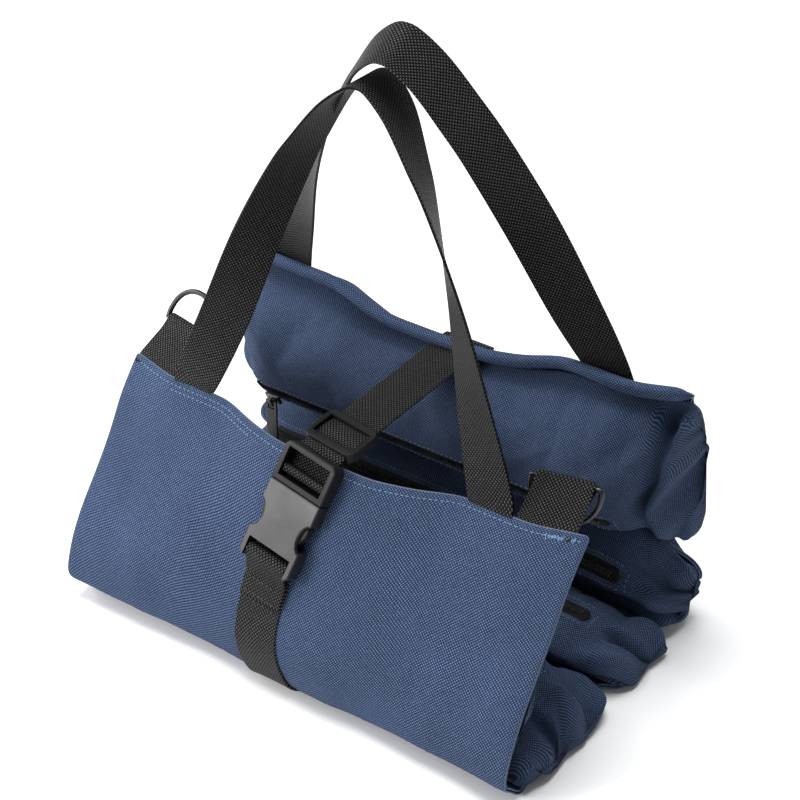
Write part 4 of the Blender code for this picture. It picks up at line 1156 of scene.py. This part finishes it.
def webbingBand(name, stations, width=web["width"]):
    # stations are (middle, way across); the band is a thin strip with a woven UV map in metres
    middles = [middle for middle, _ in stations]
    lengths = lengthTable(middles)
    rows = len(stations) - 1
    frames = []
    for index, (middle, across) in enumerate(stations):
        ahead = middles[min(index + 1, rows)] - middles[max(index - 1, 0)]
        across = (across - ahead * across.dot(ahead) / max(ahead.length_squared, 1e-12)).normalized()
        frames.append((middle, across, across.cross(ahead).normalized()))

    def place(s, t):
        middle, across, normal = frames[round(t * rows)]
        share = columnShares[round(s * (len(columnShares) - 1))]
        crown = web["crown"] * (1 - (share * 2 - 1) ** 2)
        return middle + across * (share - 0.5) * width + normal * crown

    def weave(s, t):
        return columnShares[round(s * (len(columnShares) - 1))] * width, lengths[round(t * rows)]

    mesh = gridMesh(len(columnShares) - 1, rows, place, weave)
    band = finishMesh(name, mesh, "webbing")
    addThickness(band, "Webbing thickness", web["thickness"])
    addSubdivision(band)
    return band


def fineStations(stations, steps):
    # more stations on a smooth curve through the given ones
    middles = [Vector(middle) for middle, _ in stations]
    acrosses = [Vector(across) for _, across in stations]
    fine = []
    for index in range((len(stations) - 1) * steps + 1):
        place = index / steps
        fine.append((curvePoint(middles, place), curvePoint(acrosses, place).normalized()))
    return fine


handlePath = [
    (1.0, 0.0), (0.91, 0.12), (0.82, 0.24), (0.65, 0.48), (0.45, 0.71), (0.33, 0.82), (0.20, 0.925), (0.08, 0.985),
]
handleSteps = 9
handleRise = 0.0013
handles = {
    "frontHandle": {"node": "front_handle", "body": "front_base", "number": 0, "middle": -0.004, "halfSpan": 0.115,
                    "reach": 0.2195, "lean": 13.5, "turn": 1, "root": 0.012, "topShift": (-0.009, 0, 0.0035),
                    "leftShift": 0.0, "topTilt": 16, "twistPowers": (0.8, 1.1)},
    "rearHandle": {"node": "rear_handle", "body": "rear", "number": lastNumber, "middle": 0.001, "halfSpan": 0.121,
                   "reach": 0.2165, "lean": -16.0, "turn": -1, "root": 0.010, "topShift": (0, -0.0012, -0.0022),
                   "leftShift": -0.009, "topTilt": 14, "twistPowers": (0.8, 0.8)},
}


def buildHandle(name, settings):
    point, inward = outlineAt(settings["halfSpan"], settings["number"])
    other = point + inward * roll["thickness"]
    pivot = Vector((settings["middle"], (point.y + other.y) / 2, max(point.z, other.z) + handleRise))
    reach = settings["reach"]
    half = [Vector((share * settings["halfSpan"], 0, rise * reach)) for share, rise in handlePath]
    route = half + [Vector((0, 0, reach))] + [Vector((-spot.x, 0, spot.z)) for spot in half[::-1]]
    tilt = Matrix.Rotation(-math.radians(settings["lean"]), 3, "X")
    stations = []
    for index in range((len(route) - 1) * handleSteps + 1):
        spot = curvePoint(route, index / handleSteps)
        side = 1 if spot.x >= 0 else -1
        rise = min(max(spot.z, 0) / reach, 1)
        twist = math.pi / 2 * rise ** settings["twistPowers"][side > 0]
        across = Vector((-side * math.cos(twist), settings["turn"] * math.sin(twist), 0))
        flatten = Matrix.Rotation(math.radians(settings["topTilt"]) * smoothStep(rise * 2 - 1), 3, "X")
        shift = Vector(settings["topShift"]) * smoothStep(rise)
        if side < 0:
            shift += along * settings["leftShift"] * (1 - smoothStep(rise))
        stations.append((pivot + tilt @ spot + shift, flatten @ tilt @ across))
    for end in (0, -1):  # each foot goes down between the layers of the canvas
        foot, across = stations[end]
        down = []
        for step in range(1, 5):
            depth = settings["root"] * step / 4
            length = depth if settings["number"] == 0 else middleLengths[-1] - depth
            spot, inward = outlineAt(foot.x, numberAt(length))
            down.append((spot + inward * roll["thickness"] / 2, across))
        stations = down[::-1] + stations if end == 0 else stations + down
    band = webbingBand(name, stations)
    rise = tilt @ up
    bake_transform(band, settings["body"], settings["node"],
             start=tuple(pivot - rise * 0.004), end=tuple(pivot + rise * 0.009))
    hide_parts(settings["node"])


for name, settings in handles.items():
    buildHandle(name, settings)
print("handles sewn on")


# Tabs on the hem's corners, each with its ring

tabs = {
    "left": {"side": -1, "inset": 0.0014, "lean": 33, "ringAngle": 62},
    "right": {"side": 1, "inset": 0.009, "lean": 24, "ringAngle": -106},
}
tab = {
    "width": 0.038, "shownWidth": 0.0372, "length": 0.031, "layerGap": 0.0004, "start": 0.0006,
    "loopSteps": 8, "rootLength": 0.0030, "rootDepth": 0.0019,
}
ring = {
    "wire": 0.0040, "shownWire": 0.0036, "innerWidth": 0.0405, "height": 0.0250, "clearance": 0.0003, "arcSteps": 40,
    "roundness": 0.8,
}


def tabFrame(settings):
    corners = []
    for x in (roll["width"] / 2 - settings["inset"] - tab["width"], roll["width"] / 2 - settings["inset"]):
        point, inward = outlineAt(x, 0)
        corner = point + inward * roll["thickness"]
        corners.append(Vector((settings["side"] * corner.x, corner.y, corner.z)))
    across = (corners[1] - corners[0]).normalized() * settings["side"]
    lean = math.radians(settings["lean"])
    away = Vector((0, math.cos(lean), math.sin(lean)))
    away = (away - across * across.dot(away)).normalized()
    frameHere = Matrix((across, away, across.cross(away))).transposed().to_4x4()
    frameHere.translation = (corners[0] + corners[1]) / 2
    return frameHere


def buildTab(name, settings):
    here = tabFrame(settings)
    length = tab["length"]
    layer = halfWeb + tab["layerGap"] / 2
    bend = ring["wire"] / 2 + ring["clearance"] + halfWeb
    side = [(tab["start"], layer), (length * 0.35, layer * 1.1), (length * 0.72, layer * 1.2)]
    route = list(side)
    for step in range(tab["loopSteps"] + 1):
        turn = math.pi * (0.62 - 1.24 * step / tab["loopSteps"])
        route.append((length + bend * math.cos(turn), bend * math.sin(turn)))
    route += [(y, -z) for y, z in side[::-1]]
    across = here.to_3x3() @ along
    middleX = settings["side"] * (roll["width"] / 2 - settings["inset"] - tab["width"] / 2)
    foot = (canvasPoint(middleX, tab["rootLength"], tab["rootDepth"])[0], across)
    stations = [foot] + [(here @ Vector((0, y, z)), across) for y, z in route] + [foot]
    band = webbingBand(name + "Tab", fineStations(stations, 5), tab["shownWidth"])
    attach(band, "front_base")
    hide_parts(name + "_tab")


def buildRing(name, settings):
    curve = bpy.data.curves.new(name + "Ring", "CURVE")
    curve.dimensions = "3D"
    curve.bevel_depth = ring["shownWire"] / 2
    curve.bevel_resolution = 5
    line = curve.splines.new("POLY")
    half = (ring["innerWidth"] + ring["wire"]) / 2
    route = [(half * share, 0, 0) for share in (-0.86, -0.6, -0.3, 0.0, 0.3, 0.6, 0.86)]
    for step in range(ring["arcSteps"] + 1):
        turn = math.pi * step / ring["arcSteps"]
        route.append((half * math.cos(turn), ring["height"] * math.sin(turn) ** ring["roundness"], 0))
    tilt = Matrix.Rotation(math.radians(settings["ringAngle"] - settings["lean"]), 4, "X")
    place = tabFrame(settings) @ Matrix.Translation((0, tab["length"], 0)) @ tilt
    line.points.add(len(route) - 1)
    for point, spot in zip(line.points, route):
        point.co = (*(place @ Vector(spot)), 1)
    line.use_cyclic_u = True
    loop = addObject(name + "Ring", curve)
    curve.materials.append(materials["ring"])
    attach(loop, name + "_d_ring")
    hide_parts(name + "_d_ring")


for name, settings in tabs.items():
    buildTab(name, settings)
    buildRing(name, settings)
print("tabs and rings ready")


# Straps and buckle

strap = {
    "slant": 9.0, "buckleAside": -0.006, "buckleBelow": 0.0225, "ridgeAside": 0.016, "endAside": -0.005,
    "startNumber": 2.0, "footNumber": 4.94, "underNumber": 5.06, "backNumber": 11.94, "rearEnd": 15.70, "topEnd": 15.45,
    "layerGap": 0.0004, "foldEnd": 2.36, "foldStep": 0.06, "stitchRows": (2.30, 2.08, 2.42),
    "stitchLift": 0.0003, "stitchInset": 0.003,
    "sag": 0.0003, "bulge": 0.0014, "bulgeAt": 0.0178, "bulgeWidth": 0.0042, "topBend": 0.0052,
}
buckle = {
    "lift": 0.0024, "height": 0.0106, "socketLength": 0.0525, "earLength": 0.0165, "slotLength": 0.0062,
    "bar": 0.0040, "frameLength": 0.0260, "frameBarPlace": 0.0098, "frameBarRadius": 0.0020, "frameEnd": 0.0034,
}
strapLift = roll["gap"] + halfWeb
barHeight = buckle["lift"] + buckle["height"] / 2


def buckleFrame():
    hem, _ = outlineAt(strap["buckleAside"], 0)
    lower, _ = outlineAt(strap["buckleAside"], 2)
    upFlap = (hem - lower).normalized()
    normal = along.cross(upFlap)
    slant = math.radians(strap["slant"])
    slanted = upFlap * math.cos(slant) + along * math.sin(slant)
    here = Matrix((slanted.cross(normal), slanted, normal)).transposed().to_4x4()
    here.translation = hem - upFlap * strap["buckleBelow"]
    return here


def strapOnCanvas(x, number, lift):
    point, inward = outlineAt(x, number)
    middle = point - inward * (lift + canvasRelief(x, lengthAt(number)))
    middle.z = max(middle.z, halfWeb)
    return middle


def backX(number):
    # the strap's slanting line under the roll, which goes straight on up the back
    share = min((number - strap["underNumber"]) / (strap["backNumber"] - strap["underNumber"]), 1)
    return strap["endAside"] + (strap["ridgeAside"] - strap["endAside"]) * share


def buildLowerStrap(here, across):
    # a loop round the socket's bar, then down the flap, under the roll and up to the seam
    barPlace = -buckle["socketLength"] + buckle["earLength"] - buckle["slotLength"] * 1.5 - buckle["bar"] / 2
    radius = math.hypot(buckle["bar"], buckle["bar"]) / 2 + strap["layerGap"] + halfWeb
    start, foot = strap["startNumber"], strap["footNumber"]
    leave = here @ Vector((0, barPlace - radius * 1.8, strapLift + strap["layerGap"]))
    turnIn = -math.sin(math.radians(strap["slant"])) * (lengthAt(foot) - lengthAt(start))

    def station(number, lift):
        # leaves the buckle along its slant, turns down the flap and crosses under the roll
        share = min(max((number - start) / (foot - start), 0), 1)
        ease = share * share * (3 - 2 * share)
        x = leave.x + (strap["endAside"] - leave.x) * ease + turnIn * share * (1 - share) ** 2
        if number > strap["underNumber"]:
            x = backX(number)
        return strapOnCanvas(x, number, lift), across.lerp(along, smoothStep(share * 2.2)).normalized()

    # the strap's end is turned back and lies sewn on the strap itself
    foldLift = strapLift + web["thickness"] * 1.06 + strap["layerGap"]
    stations = [station(strap["foldEnd"] - step * strap["foldStep"], foldLift) for step in range(7)]
    stations.append((here @ Vector((0, barPlace - 0.0078, barHeight - 0.0012)), across))
    for step in range(13):
        turn = math.pi * (0.62 - 1.18 * step / 12)
        spot = Vector((0, barPlace + radius * math.cos(turn), barHeight + radius * math.sin(turn)))
        stations.append((here @ spot, across))
    stations.append((leave, across))
    stations += [station(start + (canvas["seamNumber"] - start) * step / 110, strapLift) for step in range(111)]
    band = webbingBand("lowerStrap", stations)
    places = []
    for number, lift in zip(strap["stitchRows"], (foldLift, foldLift, strapLift)):
        middle, facing = station(number, lift + halfWeb + strap["stitchLift"])
        before, _ = station(number - 0.05, lift + halfWeb + strap["stitchLift"])
        out = facing.cross(before - middle).normalized()
        reach = web["width"] / 2 - strap["stitchInset"]
        places += seamAlong([middle - facing * reach, middle + facing * reach], [out, out])
    seam = finishMesh("strapStitches", seamMesh(places), "strapThread")
    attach(seam, "front_base")
    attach(band, "front_base")
    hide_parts("lower_strap", "under_strap")


def buildRearStrap():
    # on up the back to the top edge
    numbers = [canvas["seamNumber"] + (strap["rearEnd"] - canvas["seamNumber"]) * step / 60 for step in range(61)]
    stations = [(strapOnCanvas(backX(number), number, strapLift), along) for number in numbers]
    band = webbingBand("rearStrap", stations)
    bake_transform(band, "front_base", "rear", start=(0, 0.11, 0.070), end=(0, 0.11, 0.100))
    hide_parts("rear_strap")


def buildUpperStrap(here, across):
    # round the plug's bar, out under its end wall and over the mouth to the rear edge
    radius = buckle["frameBarRadius"] + strap["layerGap"] + halfWeb
    low = buckle["lift"] + halfWeb + strap["layerGap"]
    route = []
    for step in range(13):
        turn = math.pi * (0.34 + 1.12 * step / 12)
        route.append((buckle["frameBarPlace"] + radius * math.cos(turn), barHeight + radius * math.sin(turn)))
    route.append((buckle["frameBarPlace"] + radius * 1.9, low + halfWeb))
    route += [(buckle["frameLength"] - buckle["frameEnd"], low), (roll["gap"] + buckle["frameLength"], low)]
    stations = [(here @ Vector((0, y, z)), across) for y, z in route]
    leave = here @ Vector((0, strap["layerGap"] * 3 + buckle["frameLength"], low))
    ridge, _ = outlineAt(strap["ridgeAside"], lastNumber)
    top = Vector((strap["ridgeAside"], ridge.y, ridge.z + web["thickness"] + strap["layerGap"]))
    run = top - leave
    level = (along - run * run.x / run.length_squared).normalized()
    stations.append((leave, (across + level).normalized()))
    rise = level.cross(run).normalized()
    for step in range(1, 37):
        share = step / 36
        sag = strap["sag"] * math.sin(math.pi * share)
        # a small bulge fills the adjuster's window
        bulge = strap["bulge"] * math.exp(-((run.length * share - strap["bulgeAt"]) / strap["bulgeWidth"]) ** 2)
        stations.append((leave + run * share - up * sag + rise * bulge, level))
    bend = halfWeb + strap["topBend"]
    centre = top - up * bend + Vector((0, 0.001, 0))
    for step in range(1, 9):  # over the rolled edge and a little way down the back
        turn = math.radians(108 - 100 * step / 8)
        stations.append((centre + Vector((0, math.cos(turn), math.sin(turn))) * bend, along))
    end = strapOnCanvas(strap["ridgeAside"], strap["topEnd"], strapLift + web["thickness"] * 1.2)
    stations.append((end, along))
    band = webbingBand("upperStrap", stations)
    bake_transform(band, "rear", "strap", start=(0.016, 0.072, 0.179), end=(0.016, 0.056, 0.175))
    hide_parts("upper_strap")


buckleHere = buckleFrame()
buckleAcross = buckleHere.to_3x3() @ along
buildLowerStrap(buckleHere, buckleAcross)
buildRearStrap()
buildUpperStrap(buckleHere, buckleAcross)
print("straps threaded")


# Hardware: the CAD shapes, welded and shaded smooth so that their edges catch the light

hardware = {  # piece: node, body, material, slot
    "buckleSocket": ("buckle_socket", "front_base", "buckle", "buckle_plastic"),
    "bucklePlug": ("buckle_plug", "strap", "plug", "buckle_plastic"),
    "leftProng": ("left_prong", "left_prong", "plug", "buckle_plastic"),
    "rightProng": ("right_prong", "right_prong", "plug", "buckle_plastic"),
    "strapAdjuster": ("strap_adjuster", "adjuster", "adjuster", "dark_plastic"),
}
for label in "12345":
    hardware["zipSlider" + label] = ("zip_slider_" + label, "slider_" + label, "ring", "gunmetal")
    hardware["zipPuller" + label] = ("zip_puller_" + label, "puller_" + label, "puller", "dark_plastic")
welding = {"distance": 0.00001, "flatAngle": 1, "sharpAngle": 35, "flatWeight": 80}


def buildHardware(name, node, body, material, slot):
    mesh = bmesh.new()
    mesh.from_mesh(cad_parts[node].data)
    bmesh.ops.remove_doubles(mesh, verts=mesh.verts, dist=welding["distance"])
    flat = math.radians(welding["flatAngle"])
    bmesh.ops.dissolve_limit(mesh, angle_limit=flat, verts=mesh.verts, edges=mesh.edges)
    piece = finishMesh(name, mesh, material)
    piece.data.set_sharp_from_angle(angle=math.radians(welding["sharpAngle"]))
    flats = piece.modifiers.new("Flat faces stay flat", "WEIGHTED_NORMAL")
    flats.keep_sharp = True
    flats.weight = welding["flatWeight"]
    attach(piece, body)
    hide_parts(node)


for name, facts in hardware.items():
    buildHardware(name, *facts)
print("hardware ready")
